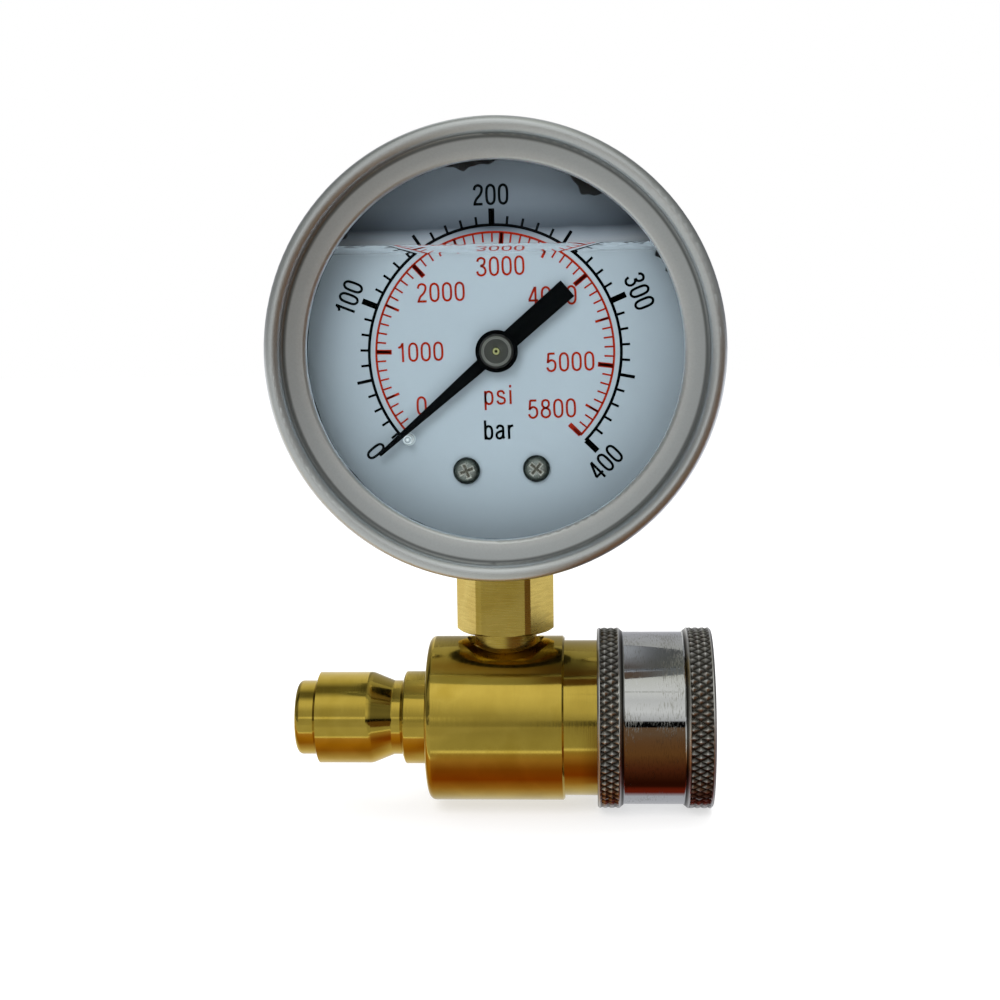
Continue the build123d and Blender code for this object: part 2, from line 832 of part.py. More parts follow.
# Pin that the pointer rests on
with BuildPart() as stop_pin:
    with BuildSketch(dial_plane.offset(dial_back)):
        with Locations(stop_pin_place):
            Circle(stop_pin_radius)
    extrude(amount=dial_sheet + stop_pin_height)

stop_pin.part.label = "stop_pin"
export_step(stop_pin.part, "parts/stop_pin.step")

# Pointer: a stamped blade with a broad tail
with BuildPart() as pointer:
    aim = pointer_rest_angle + dial_tilt
    blade_plane = Plane(
        origin=dial_plane.offset(pointer_plane).origin,
        x_dir=radial_plane(aim).x_dir,
        z_dir=dial_plane.z_dir,
    )
    with BuildSketch(blade_plane):
        with BuildLine():
            Polyline(
                (pointer_tip_reach, pointer_tip_width / 2),
                (0, pointer_root_width / 2),
                (0, pointer_tail_root_width / 2),
                (-pointer_tail_reach, pointer_tail_width / 2),
                (-pointer_tail_reach, -pointer_tail_width / 2),
                (0, -pointer_tail_root_width / 2),
                (0, -pointer_root_width / 2),
                (pointer_tip_reach, -pointer_tip_width / 2),
                close=True,
            )
        make_face()
        Circle(pointer_hub_radius)
        Circle(bush_radius, mode=Mode.SUBTRACT)
    extrude(amount=pointer_sheet)

pointer.part.label = "pointer"
export_step(pointer.part, "parts/pointer.step")

# Bush and cap that fix the pointer to the pinion's arbor
with BuildPart() as pointer_cap:
    cap_back = pointer_plane + pointer_sheet
    with BuildSketch(radial_plane(0)):
        with BuildLine():
            Polyline(
                (front_pivot_radius, pointer_plane - bush_length),
                (bush_radius, pointer_plane - bush_length),
                (bush_radius, cap_back),
                (cap_radius, cap_back),
                (cap_radius, cap_back + cap_height - cap_chamfer),
                (cap_radius - cap_chamfer, cap_back + cap_height),
                (front_pivot_radius, cap_back + cap_height),
                close=True,
            )
        make_face()
    revolve(axis=gauge_axis)

pointer_cap.part.label = "pointer_cap"
export_step(pointer_cap.part, "parts/pointer_cap.step")

# Movement plates, with holes for the arbors, the pillars' screws and the mounting screws
pillar_places = [
    (side * (plate_width / 2 - pillar_inset), height)
    for side in (-1, 1)
    for height in (pillar_bottom, plate_top - pillar_drop)
]
with BuildPart() as front_plate:
    with BuildSketch(dial_plane.offset(front_plate_back)):
        with Locations((0, (plate_top + front_plate_bottom) / 2)):
            RectangleRounded(plate_width, plate_top - front_plate_bottom, plate_round)
        Circle(front_pivot_radius + pivot_clearance, mode=Mode.SUBTRACT)
        with Locations(sector_pivot):
            Circle(pivot_radius + pivot_clearance, mode=Mode.SUBTRACT)
        with Locations(*pillar_places):
            Circle(small_shank_radius + screw_clearance, mode=Mode.SUBTRACT)
        with Locations(*dial_screw_places):
            Circle(dial_screw_shank_radius + screw_clearance, mode=Mode.SUBTRACT)
    extrude(amount=plate_sheet)

front_plate.part.label = "front_plate"
export_step(front_plate.part, "parts/front_plate.step")

mounting_places = [(side * block_screw_spacing / 2, block_screw_height) for side in (-1, 1)]
spiral_end_reach = hairspring_inner_radius + hairspring_turns * hairspring_pitch
stud_reach = spiral_end_reach + hairspring_strip / 2 + hairspring_stud_radius
with BuildPart() as rear_plate:
    with BuildSketch(dial_plane.offset(rear_plate_back)):
        with Locations((0, (plate_top + rear_plate_bottom) / 2)):
            RectangleRounded(plate_width, plate_top - rear_plate_bottom, plate_round)
        Circle(pivot_radius + pivot_clearance, mode=Mode.SUBTRACT)
        with Locations(sector_pivot):
            Circle(pivot_radius + pivot_clearance, mode=Mode.SUBTRACT)
        with Locations(*mounting_places):
            Circle(small_shank_radius + screw_clearance, mode=Mode.SUBTRACT)
    extrude(amount=plate_sheet)

rear_plate.part.label = "rear_plate"
export_step(rear_plate.part, "parts/rear_plate.step")

# Pillars between the plates, tapped at their front ends
with BuildPart() as pillars:
    with BuildSketch(dial_plane.offset(rear_plate_front)):
        with Locations(*pillar_places):
            Circle(pillar_radius)
    extrude(amount=plate_gap)
    with BuildSketch(dial_plane.offset(front_plate_back)):
        with Locations(*pillar_places):
            Circle(small_shank_radius + screw_clearance)
    extrude(amount=-small_screw_length, mode=Mode.SUBTRACT)

pillars.part.label = "pillars"
export_step(pillars.part, "parts/pillars.step")

# Small screws: four in the pillars, and two that hold the movement to the block
with BuildPart() as plate_screws:
    with BuildSketch(dial_plane.offset(front_plate_front)):
        with Locations(*pillar_places):
            Circle(small_head_radius)
    extrude(amount=small_head_height)
    with BuildSketch(dial_plane.offset(front_plate_front)):
        with Locations(*pillar_places):
            Circle(small_shank_radius)
    extrude(amount=screw_clearance - small_screw_length)

plate_screws.part.label = "plate_screws"
export_step(plate_screws.part, "parts/plate_screws.step")

with BuildPart() as mounting_screws:
    with BuildSketch(dial_plane.offset(rear_plate_front)):
        with Locations(*mounting_places):
            Circle(small_head_radius)
    extrude(amount=small_head_height)
    with BuildSketch(dial_plane.offset(rear_plate_front)):
        with Locations(*mounting_places):
            Circle(small_shank_radius)
    extrude(amount=screw_clearance - small_screw_length)

mounting_screws.part.label = "mounting_screws"
export_step(mounting_screws.part, "parts/mounting_screws.step")


def tooth_half_angle(radius, teeth):
    """Half the angle, in degrees, that an involute tooth fills at a radius."""
    base_angle = radians(pressure_angle)
    pitch_radius = gear_module * teeth / 2
    flank_angle = acos(min(1, pitch_radius * cos(base_angle) / radius))
    at_pitch = (pi / 2 - gear_backlash / (2 * gear_module)) / teeth
    return degrees(at_pitch + tan(base_angle) - base_angle - tan(flank_angle) + flank_angle)


def tooth_outline(teeth, addendum, angle, centre):
    """Outline of one tooth, from inside the root circle to its tip, pointing along an angle."""
    pitch_radius = gear_module * teeth / 2
    tip = pitch_radius + addendum * gear_module
    root = pitch_radius - gear_dedendum * gear_module
    flank_start = max(root, pitch_radius * cos(radians(pressure_angle)))
    foot = root - gear_module
    reaches = (flank_start, (flank_start + tip) / 2, tip)
    for side in (-1, 1):
        flank = [
            turned(angle + side * tooth_half_angle(reach, teeth), reach, centre)
            for reach in reaches
        ]
        foot_point = turned(angle + side * tooth_half_angle(flank_start, teeth), foot, centre)
        ThreePointArc(*flank)
        Line(foot_point, flank[0])
    tip_sides = [turned(angle + side * tooth_half_angle(tip, teeth), tip, centre) for side in (-1, 1)]
    foot_sides = [
        turned(angle + side * tooth_half_angle(flank_start, teeth), foot, centre) for side in (-1, 1)
    ]
    Line(*tip_sides)
    Line(*foot_sides)


# Pinion cut on the pointer's arbor, with a gap between two teeth towards the sector
with BuildPart() as pinion_arbor:
    rear_shoulder = rear_plate_front + shoulder_gap
    front_shoulder = front_plate_back - shoulder_gap
    collet_back = hairspring_back - (collet_length - hairspring_width) / 2
    with BuildSketch(radial_plane(0)):
        with BuildLine():
            Polyline(
                (0, rear_plate_back + shoulder_gap),
                (pivot_radius, rear_plate_back + shoulder_gap),
                (pivot_radius, rear_shoulder),
                (arbor_radius, rear_shoulder),
                (arbor_radius, collet_back),
                (collet_radius, collet_back),
                (collet_radius, collet_back + collet_length),
                (arbor_radius, collet_back + collet_length),
                (arbor_radius, front_shoulder),
                (front_pivot_radius, front_shoulder),
                (front_pivot_radius, pointer_plane + pointer_sheet),
                (arbor_nose_radius, arbor_nose_reach),
                (0, arbor_nose_reach),
                close=True,
            )
        make_face()
    revolve(axis=gauge_axis)
    with BuildSketch(dial_plane.offset(pinion_back)):
        Circle(pinion_radius - gear_dedendum * gear_module)
        for number in range(pinion_teeth):
            tooth_angle = (number + 0.5) * 360 / pinion_teeth - 90
            with BuildLine():
                tooth_outline(pinion_teeth, pinion_addendum, tooth_angle, (0, 0))
            make_face()
    extrude(amount=pinion_face)

pinion_arbor.part.label = "pinion_arbor"
export_step(pinion_arbor.part, "parts/pinion_arbor.step")

# Sector: toothed rim, two arms, hub and the tail that the link pulls
with BuildPart() as sector_gear:
    sector_root = sector_radius - gear_dedendum * gear_module
    rim_inner = sector_root - sector_rim_depth
    tooth_angles = [
        90 - number * sector_tooth_step for number in range(sector_first_tooth, sector_last_tooth + 1)
    ]
    rim_start = tooth_angles[-1] - sector_rim_margin
    rim_end = tooth_angles[0] + sector_rim_margin
    with BuildSketch(dial_plane.offset(sector_back)):
        with BuildLine():
            CenterArc(sector_pivot, sector_root, rim_start, rim_end - rim_start)
            CenterArc(sector_pivot, rim_inner, rim_start, rim_end - rim_start)
            for angle in (rim_start, rim_end):
                Line(
                    turned(angle, rim_inner, sector_pivot), turned(angle, sector_root, sector_pivot)
                )
        make_face()
        for angle in tooth_angles:
            with BuildLine():
                tooth_outline(sector_teeth, sector_addendum, angle, sector_pivot)
            make_face()
        with Locations(sector_pivot):
            Circle(sector_hub_radius)
        for angle in (rim_start + sector_rim_margin, rim_end - sector_rim_margin):
            with Locations(turned(angle, rim_inner / 2, sector_pivot)):
                Rectangle(rim_inner + sector_rim_depth / 2, sector_arm_width, rotation=angle)
        with Locations(turned(tail_rest_angle, tail_reach / 2, sector_pivot)):
            Rectangle(tail_reach, tail_width, rotation=tail_rest_angle)
        with Locations(tail_pin_place):
            Circle(eye_radius)
            Circle(linkage_pin_radius, mode=Mode.SUBTRACT)
        with Locations(sector_pivot):
            Circle(arbor_radius, mode=Mode.SUBTRACT)
    extrude(amount=sector_sheet)

sector_gear.part.label = "sector_gear"
export_step(sector_gear.part, "parts/sector_gear.step")

# Arbor that the sector is fixed to
with BuildPart() as sector_arbor:
    with BuildSketch(dial_plane.offset(rear_plate_back + shoulder_gap)):
        with Locations(sector_pivot):
            Circle(pivot_radius)
    extrude(amount=front_plate_front - rear_plate_back - 2 * shoulder_gap)
    with BuildSketch(dial_plane.offset(rear_shoulder)):
        with Locations(sector_pivot):
            Circle(arbor_radius)
    extrude(amount=front_shoulder - rear_shoulder)

sector_arbor.part.label = "sector_arbor"
export_step(sector_arbor.part, "parts/sector_arbor.step")

# Pins of the linkage: one in the sector's tail, one in the tube's end piece
with BuildPart() as sector_pin:
    sector_front = sector_back + sector_sheet
    with BuildSketch(dial_plane.offset(link_back - pin_head_height - link_gap)):
        with Locations(tail_pin_place):
            Circle(linkage_pin_radius)
    extrude(amount=sector_front - link_back + pin_head_height + link_gap)
    with BuildSketch(dial_plane.offset(link_back - link_gap)):
        with Locations(tail_pin_place):
            Circle(pin_head_radius)
    extrude(amount=-pin_head_height)

sector_pin.part.label = "sector_pin"
export_step(sector_pin.part, "parts/sector_pin.step")

with BuildPart() as tip_pin:
    link_front = link_back + link_sheet
    with BuildSketch(dial_plane.offset(ear_back)):
        with Locations(tip_pin_place):
            Circle(linkage_pin_radius)
    extrude(amount=link_front + link_gap - ear_back)
    with BuildSketch(dial_plane.offset(link_front + link_gap)):
        with Locations(tip_pin_place):
            Circle(loose_eye_radius + link_gap)
    extrude(amount=pin_head_height)

tip_pin.part.label = "tip_pin"
export_step(tip_pin.part, "parts/tip_pin.step")

# Link from the sector's tail to the tube's end piece
with BuildPart() as link_rod:
    with BuildSketch(dial_plane.offset(link_back)):
        with Locations(turned(link_angle, link_length / 2, tail_pin_place)):
            Rectangle(link_length, link_width, rotation=link_angle)
        with Locations(tail_pin_place, tip_pin_place):
            Circle(eye_radius)
        with Locations(tail_pin_place):
            Circle(linkage_pin_radius + pivot_clearance, mode=Mode.SUBTRACT)
        with Locations(tip_pin_place):
            Circle(loose_eye_radius, mode=Mode.SUBTRACT)
    extrude(amount=link_sheet)

link_rod.part.label = "link_rod"
export_step(link_rod.part, "parts/link_rod.step")

# Bourdon tube: a flattened tube bent to a C, open at its root
with BuildPart() as bourdon_tube:
    with BuildSketch(radial_plane(tube_end_angle)):
        with Locations((tube_radius, tube_middle)):
            SlotOverall(tube_width, tube_thickness, rotation=90)
            SlotOverall(
                tube_width - 2 * tube_wall,
                tube_thickness - 2 * tube_wall,
                rotation=90,
                mode=Mode.SUBTRACT,
            )
    revolve(axis=gauge_axis, revolution_arc=tube_root_angle - tube_end_angle)

bourdon_tube.part.label = "bourdon_tube"
export_step(bourdon_tube.part, "parts/bourdon_tube.step")

# End piece: closes the tube and reaches forward to the link
with BuildPart() as tube_tip:
    tip_turn = degrees(tip_length / tube_radius)
    tip_depth = tube_width + 2 * tip_wall
    tip_height = tube_thickness + 2 * tip_wall
    with BuildSketch(radial_plane(tube_end_angle - tip_turn)):
        with Locations((tube_radius, tube_middle)):
            RectangleRounded(tip_height, tip_depth, tip_wall)
    revolve(axis=gauge_axis, revolution_arc=tip_turn)
    with BuildSketch(radial_plane(tube_end_angle - tip_turn / 2)):
        with Locations((tube_radius, tube_middle)):
            SlotOverall(
                tube_width - 2 * (tube_wall + tube_fit),
                tube_thickness - 2 * (tube_wall + tube_fit),
                rotation=90,
            )
    revolve(axis=gauge_axis, revolution_arc=tip_turn / 2 + degrees(tip_plug_length / tube_radius))
    tip_middle = turned(tube_end_angle - tip_turn / 2, tube_radius)
    with BuildSketch(dial_plane.offset(tube_middle)):
        with Locations(tip_middle):
            Circle(tip_length / 2)
    extrude(amount=ear_back + ear_sheet - tube_middle)
    with BuildSketch(dial_plane.offset(ear_back)):
        with BuildLine():
            arm = Line(tip_middle, tip_pin_place)
        arm_turn = degrees(atan2(*reversed(tuple(arm % 0)[:2])))
        with Locations(arm @ 0.5):
            SlotCenterToCenter(arm.length, 2 * eye_radius, rotation=arm_turn)
        with Locations(tip_pin_place):
            Circle(linkage_pin_radius, mode=Mode.SUBTRACT)
    extrude(amount=ear_sheet)

tube_tip.part.label = "tube_tip"
export_step(tube_tip.part, "parts/tube_tip.step")

# Hairspring: a flat spiral from the arbor's collet to a stud on the rear plate
with BuildPart() as hairspring:
    spiral_steps = hairspring_turns * spiral_points_per_turn
    spiral_edges = [
        [
            turned(
                360 * step / spiral_points_per_turn,
                hairspring_inner_radius + half + hairspring_pitch * step / spiral_points_per_turn,
            )
            for step in range(spiral_steps + 1)
        ]
        for half in (-hairspring_strip / 2, hairspring_strip / 2)
    ]
    with BuildSketch(dial_plane.offset(hairspring_back)):
        with BuildLine():
            Spline(*spiral_edges[0])
            Spline(*spiral_edges[1])
            Line(spiral_edges[0][0], spiral_edges[1][0])
            Line(spiral_edges[0][-1], spiral_edges[1][-1])
        make_face()
    extrude(amount=hairspring_width)

hairspring.part.label = "hairspring"
export_step(hairspring.part, "parts/hairspring.step")

with BuildPart() as hairspring_stud:
    with BuildSketch(dial_plane.offset(rear_plate_front)):
        with Locations(turned(0, stud_reach)):
            Circle(hairspring_stud_radius)
    extrude(amount=hairspring_back + hairspring_width - rear_plate_front)

hairspring_stud.part.label = "hairspring_stud"
export_step(hairspring_stud.part, "parts/hairspring_stud.step")
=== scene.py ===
import math

import bmesh
import bpy
from mathutils import Matrix, Vector


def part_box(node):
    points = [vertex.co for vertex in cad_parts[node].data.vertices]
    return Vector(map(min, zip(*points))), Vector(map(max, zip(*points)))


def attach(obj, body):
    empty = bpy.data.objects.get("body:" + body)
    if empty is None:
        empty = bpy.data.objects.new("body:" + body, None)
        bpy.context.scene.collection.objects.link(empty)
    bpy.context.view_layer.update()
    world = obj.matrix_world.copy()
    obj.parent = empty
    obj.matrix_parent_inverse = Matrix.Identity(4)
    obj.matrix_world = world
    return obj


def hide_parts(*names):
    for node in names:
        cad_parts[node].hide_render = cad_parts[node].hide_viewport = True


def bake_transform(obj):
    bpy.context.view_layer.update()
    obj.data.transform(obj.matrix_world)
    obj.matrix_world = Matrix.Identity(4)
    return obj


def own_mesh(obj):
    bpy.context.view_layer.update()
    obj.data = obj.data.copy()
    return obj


# Pressure gauge on a turned brass tee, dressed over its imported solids. Lengths named here are in
# millimetres and the scene is in metres, in the row's own frame.
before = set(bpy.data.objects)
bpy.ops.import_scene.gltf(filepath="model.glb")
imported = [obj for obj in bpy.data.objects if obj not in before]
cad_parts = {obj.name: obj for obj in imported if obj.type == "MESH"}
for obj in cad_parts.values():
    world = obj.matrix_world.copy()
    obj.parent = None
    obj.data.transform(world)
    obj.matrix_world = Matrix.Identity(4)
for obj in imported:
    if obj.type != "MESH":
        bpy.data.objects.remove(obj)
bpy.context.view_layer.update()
MM = 0.001

# Sizes that the pieces share with the solids
STEM_X = 26.1
GAUGE_Z = 59.5
DIAL_FRONT = 12.9
DIAL_TILT = 1.4
LENS_BACK = 17.5
LENS_FRONT = 19.5
GRIP_RADIUS = 14.5
FLOOR_Z = -14.6

# Local frames: z runs along the turned axis
FLOW = Matrix(((0, 0, 1, 0), (1, 0, 0, 0), (0, 1, 0, 0), (0, 0, 0, 1)))
GAUGE = Matrix(((1, 0, 0, STEM_X), (0, 0, -1, 0), (0, 1, 0, GAUGE_Z), (0, 0, 0, 1)))
DIAL = GAUGE @ Matrix.Rotation(math.radians(DIAL_TILT), 4, "Z")
# The scales are printed a little small, turned and off centre on the dial
PRINT_TURN = Matrix.Rotation(math.radians(-0.75), 4, "Z")
PRINT = Matrix.Translation((-0.38, -0.2, 0)) @ PRINT_TURN @ Matrix.Scale(0.985, 4)


def linear(code):
    """Linear colour of an sRGB hex value."""
    channels = [int(code[place : place + 2], 16) / 255 for place in (1, 3, 5)]
    return [c / 12.92 if c <= 0.04045 else ((c + 0.055) / 1.055) ** 2.4 for c in channels] + [1]


def add(tree, kind, inputs=(), stops=None, **settings):
    """Adds one node. An input takes a number, a hex colour, a socket, or a node for its first output."""
    made = tree.nodes.new(kind if kind.startswith("GeometryNode") else "ShaderNode" + kind)
    for name, value in settings.items():
        setattr(made, name, value)
    if stops:
        ramp = made.color_ramp.elements
        while len(ramp) < len(stops):
            ramp.new(1)
        for element, (position, shade) in zip(ramp, stops):
            element.position = position
            element.color = linear(shade) if isinstance(shade, str) else (shade, shade, shade, 1)
    for name, value in inputs.items() if isinstance(inputs, dict) else enumerate(inputs):
        socket = made.inputs[name]
        if isinstance(value, bpy.types.Node):
            value = value.outputs[0]
        if isinstance(value, bpy.types.NodeSocket):
            tree.links.new(value, socket)
        elif isinstance(value, str) and value.startswith("#"):
            socket.default_value = linear(value)
        else:
            socket.default_value = value
    return made


def new_material(name):
    """An empty material with its output and its Object coordinates in millimetres."""
    material = bpy.data.materials.new(name)
    material.use_nodes = True
    tree = material.node_tree
    tree.nodes.clear()
    place = add(tree, "TexCoord").outputs["Object"]
    scaled = add(tree, "VectorMath", [place, (1000, 1000, 1000)], operation="MULTIPLY")
    return material, tree, scaled.outputs[0]


def finish_material(material, shader):
    """Puts a shader on a material's output."""
    add(material.node_tree, "OutputMaterial", {"Surface": shader})
    return material


def polar(turn, reach, along=0.0):
    """Point at an angle in radians and a reach from an axis, and at a place along it."""
    return Vector((reach * math.cos(turn), reach * math.sin(turn), along))


def placed(name, data):
    """A new object in the scene, at the origin."""
    obj = bpy.data.objects.new(name, data)
    bpy.context.scene.collection.objects.link(obj)
    return obj


def finished_mesh(name, build, place=Matrix()):
    """Mesh of a build in millimetres, brought to its place and to metres."""
    made = bpy.data.meshes.new(name)
    build.to_mesh(made)
    build.free()
    made.transform(Matrix.Scale(MM, 4) @ place)
    return made


# Materials


def metal(name, shades, roughness, grain, grain_mm, bump_mm):
    """Metal whose colour wanders between shades, with a grain that is stretched along its cut.

    The marks are grain_mm wide, and grain scales them along x, y and z: a low number draws them out.
    """
    material, tree, place = new_material(name)
    cloud = add(tree, "TexNoise", {"Vector": place, "Scale": 0.12, "Detail": 3})
    colour = add(
        tree,
        "ValToRGB",
        {"Fac": cloud},
        stops=[(0.35 + 0.3 * number / (len(shades) - 1), shade) for number, shade in enumerate(shades)],
    )
    stretched = add(tree, "Mapping", {"Vector": place, "Scale": grain})
    marks = add(tree, "TexNoise", {"Vector": stretched, "Scale": 1 / grain_mm, "Detail": 4})
    matt = add(
        tree,
        "MapRange",
        {"Value": marks, "From Min": 0.3, "From Max": 0.7, "To Min": roughness[0], "To Max": roughness[1]},
    )
    bump = add(tree, "Bump", {"Height": marks, "Distance": bump_mm * MM, "Strength": 1.0})
    shader = add(
        tree,
        "BsdfPrincipled",
        {"Base Color": colour, "Metallic": 1.0, "Roughness": matt, "Normal": bump},
    )
    return finish_material(material, shader)


# Yellow brass bar, turned and polished: the tool leaves rings round the flow axis
turned_brass = metal(
    "turned brass", ["#BBA03E", "#C8AE4C", "#C0A646"], (0.07, 0.15), (1, 0.05, 0.05), 0.15, 0.003,
)
# Brass bar stock with milled flats: faint level cutter marks
milled_brass = metal(
    "milled brass", ["#D2B656", "#DEC466", "#D8BC5C"], (0.22, 0.36), (0.08, 0.08, 1), 0.3, 0.002,
)
# Stamped and blanked movement brass with a satin face
movement_brass = metal("stamped brass", ["#C6A860", "#D2B56E"], (0.3, 0.42), (0.3, 1, 1), 0.4, 0.003)
# Stainless sheet drawn to a cup and satin finished: fine even grain with a soft sheen
brushed_stainless = metal(
    "satin stainless", ["#CACDCD", "#D0D3D3", "#CCCFCF"], (0.37, 0.41), (1, 1, 1), 0.4, 0.0008,
)
# Bright chromium plate over ground steel: mirror gloss with fine rub marks
bright_chrome = metal("chromium plate", ["#D6D8DB", "#DEE0E2"], (0.02, 0.08), (0.1, 1, 1), 0.6, 0.0004)


def sleeve_plate():
    """Chromium plate of the sleeve: mirror gloss with rub marks, and painted shade that darkens the knurl
    towards the bottom of its grooves.
    """
    material, tree, place = new_material("sleeve plate")
    flat = add(tree, "VectorMath", [place, (0, 1, 1)], operation="MULTIPLY")
    reach = add(tree, "VectorMath", [flat], operation="LENGTH").outputs["Value"]
    depth = add(tree, "MapRange", {"Value": reach, "From Min": 14.0, "From Max": GRIP_RADIUS})
    # Painted shade: the knurl grows darker towards the bottom of its grooves
    knurl_depth_shade = add(
        tree,
        "ValToRGB",
        {"Fac": depth},
        stops=[(0.1, "#2C2A28"), (0.35, "#66645F"), (0.65, "#B2B1AE"), (0.95, "#E4E4E2")],
    )
    at_grip = add(tree, "MapRange", {"Value": reach, "From Min": 13.9, "From Max": 14.0})
    stretched = add(tree, "Mapping", {"Vector": place, "Scale": (7, 1, 1)})
    rubs = add(tree, "TexNoise", {"Vector": stretched, "Scale": 1.1, "Detail": 5})
    patches = add(tree, "TexNoise", {"Vector": place, "Scale": 0.22, "Detail": 2})
    struck = add(tree, "Math", [patches, 0.55, rubs], operation="MULTIPLY_ADD")
    marks = add(tree, "MapRange", {"Value": struck, "From Min": 0.8, "From Max": 1.04})
    plain = add(tree, "Mix", {0: marks, 6: "#DADCDE", 7: "#A9A9A2"}, data_type="RGBA")
    colour = add(tree, "Mix", {0: at_grip, 6: plain.outputs[2], 7: knurl_depth_shade}, data_type="RGBA")
    polish = add(tree, "MapRange", {"Value": marks, "To Min": 0.04, "To Max": 0.3})
    matt = add(tree, "Mix", {0: at_grip, 2: polish, 3: 0.3})
    bump = add(tree, "Bump", {"Height": marks, "Distance": 0.004 * MM})
    shader = add(
        tree,
        "BsdfPrincipled",
        {"Base Color": colour.outputs[2], "Metallic": 1.0, "Roughness": matt, "Normal": bump},
    )
    return finish_material(material, shader)


plated_sleeve = sleeve_plate()
# Hardened ball and ring steel, ground
ground_steel = metal("ground steel", ["#A9A9A8", "#B6B6B4"], (0.14, 0.24), (1, 1, 1), 0.2, 0.001)
# Drawn phosphor bronze of the tube and the hairspring
drawn_bronze = metal("phosphor bronze", ["#B07C46", "#BC8A52"], (0.28, 0.4), (1, 1, 1), 0.4, 0.002)


def moulded_rubber():
    """Black nitrile rubber from a mould: matt, with a dusty bloom and a fine pebbled skin."""
    material, tree, place = new_material("nitrile rubber")
    bloom = add(tree, "TexNoise", {"Vector": place, "Scale": 0.5, "Detail": 5})
    colour = add(tree, "ValToRGB", {"Fac": bloom}, stops=[(0.35, "#0E0F10"), (0.7, "#1D1F20")])
    skin = add(tree, "TexNoise", {"Vector": place, "Scale": 6, "Detail": 3})
    bump = add(tree, "Bump", {"Height": skin, "Distance": 0.03 * MM})
    matt = add(tree, "MapRange", {"Value": bloom, "To Min": 0.45, "To Max": 0.75})
    shader = add(tree, "BsdfPrincipled", {"Base Color": colour, "Roughness": matt, "Normal": bump})
    return finish_material(material, shader)


rubber = moulded_rubber()


def stoved_enamel(name, shades, roughness):
    """Stoved enamel under glycerine: an even coat that keeps hardly any gloss of its own."""
    material, tree, place = new_material(name)
    cloud = add(tree, "TexNoise", {"Vector": place, "Scale": 0.06, "Detail": 2})
    colour = add(tree, "ValToRGB", {"Fac": cloud}, stops=[(0.3, shades[0]), (0.7, shades[1])])
    peel = add(tree, "TexNoise", {"Vector": place, "Scale": 2.5, "Detail": 2})
    bump = add(tree, "Bump", {"Height": peel, "Distance": 0.004 * MM})
    matt = add(tree, "MapRange", {"Value": peel, "To Min": roughness - 0.06, "To Max": roughness + 0.06})
    shader = add(
        tree,
        "BsdfPrincipled",
        {"Base Color": colour, "Roughness": matt, "Specular IOR Level": 0.0, "Normal": bump},
    )
    return finish_material(material, shader)


pointer_enamel = stoved_enamel("pointer enamel", ["#040506", "#07080A"], 0.35)
black_ink = stoved_enamel("black printing ink", ["#030406", "#07090C"], 0.45)
red_ink = stoved_enamel("red printing ink", ["#8E2216", "#A22A1B"], 0.45)


def ringed(name, middle, reach, stops, metallic, roughness, dirt=(0.75, 1.2)):
    """A turned face, with its lathe rings round a middle given in the dial's own plane."""
    material, tree, place = new_material(name)
    flat = add(tree, "VectorMath", [place, (1, 0, 1)], operation="MULTIPLY")
    away = add(tree, "VectorMath", [flat, (middle[0], 0, middle[1])], operation="DISTANCE")
    grime = add(tree, "TexNoise", {"Vector": place, "Scale": 3.0, "Detail": 3})
    share = add(tree, "MapRange", {"Value": away.outputs["Value"], "From Max": reach})
    colour = add(tree, "ValToRGB", {"Fac": share}, stops=stops)
    shade = add(tree, "MapRange", {"Value": grime, "To Min": dirt[0], "To Max": dirt[1]})
    worn = add(tree, "Mix", {0: 1.0, 6: colour, 7: shade}, data_type="RGBA", blend_type="MULTIPLY")
    rings = add(tree, "Math", [away.outputs["Value"], 42.0], operation="MULTIPLY")
    wave = add(tree, "Math", [rings], operation="SINE")
    bump = add(tree, "Bump", {"Height": wave, "Distance": 0.002 * MM})
    matt = add(tree, "MapRange", {"Value": grime, "To Min": roughness, "To Max": roughness + 0.15})
    shader = add(
        tree,
        "BsdfPrincipled",
        {"Base Color": worn.outputs[2], "Metallic": metallic, "Roughness": matt, "Normal": bump},
    )
    return finish_material(material, shader)


# Grey enamelled cap that was turned: pale rings near its edge are painted highlights, and fine rings lie
# inside it
turned_cap = ringed(
    "enamelled cap", (STEM_X, GAUGE_Z), 2.6,
    [(0.0, "#4A4838"), (0.3, "#3A3A34"), (0.7, "#31302E"), (0.75, "#7A7974"), (0.78, "#353432"),
     (0.83, "#706F6A"), (0.87, "#2F2E2C"), (1.0, "#1E1D1C")],
    0.0, 0.5,
)
# Tarnished brass of the pinion's end, with painted shade for a hole at its centre
arbor_brass = ringed(
    "tarnished brass", (STEM_X, GAUGE_Z), 0.6,
    [
        (0.0, "#15150C"), (0.3, "#2A2A18"), (0.45, "#A9A976"), (0.7, "#C6C48A"), (0.9, "#6A6848"),
        (1.0, "#4A4838"),
    ],
    0.6, 0.35,
)
# Stainless strip rolled to a ring and crimped: satin face, a painted highlight that brightens the roll, and
# painted shade that darkens the groove between
rolled_stainless = ringed(
    "rolled stainless", (STEM_X, GAUGE_Z), 34.0,
    [(0.83, "#F2F6F8"), (0.87, "#DCE2E6"), (0.905, "#D6DCE0"), (0.912, "#7E8284"), (0.921, "#8A8E90"),
     (0.93, "#E2E8EC"), (0.96, "#F2F7FA"), (1.0, "#E4EAEE")],
    1.0, 0.3, (0.93, 1.07),
)

# Height of the liquid at the dial, and the slope in degrees that its surface has at the window
LEVEL_Z = 74.3
MENISCUS_TURN = 26


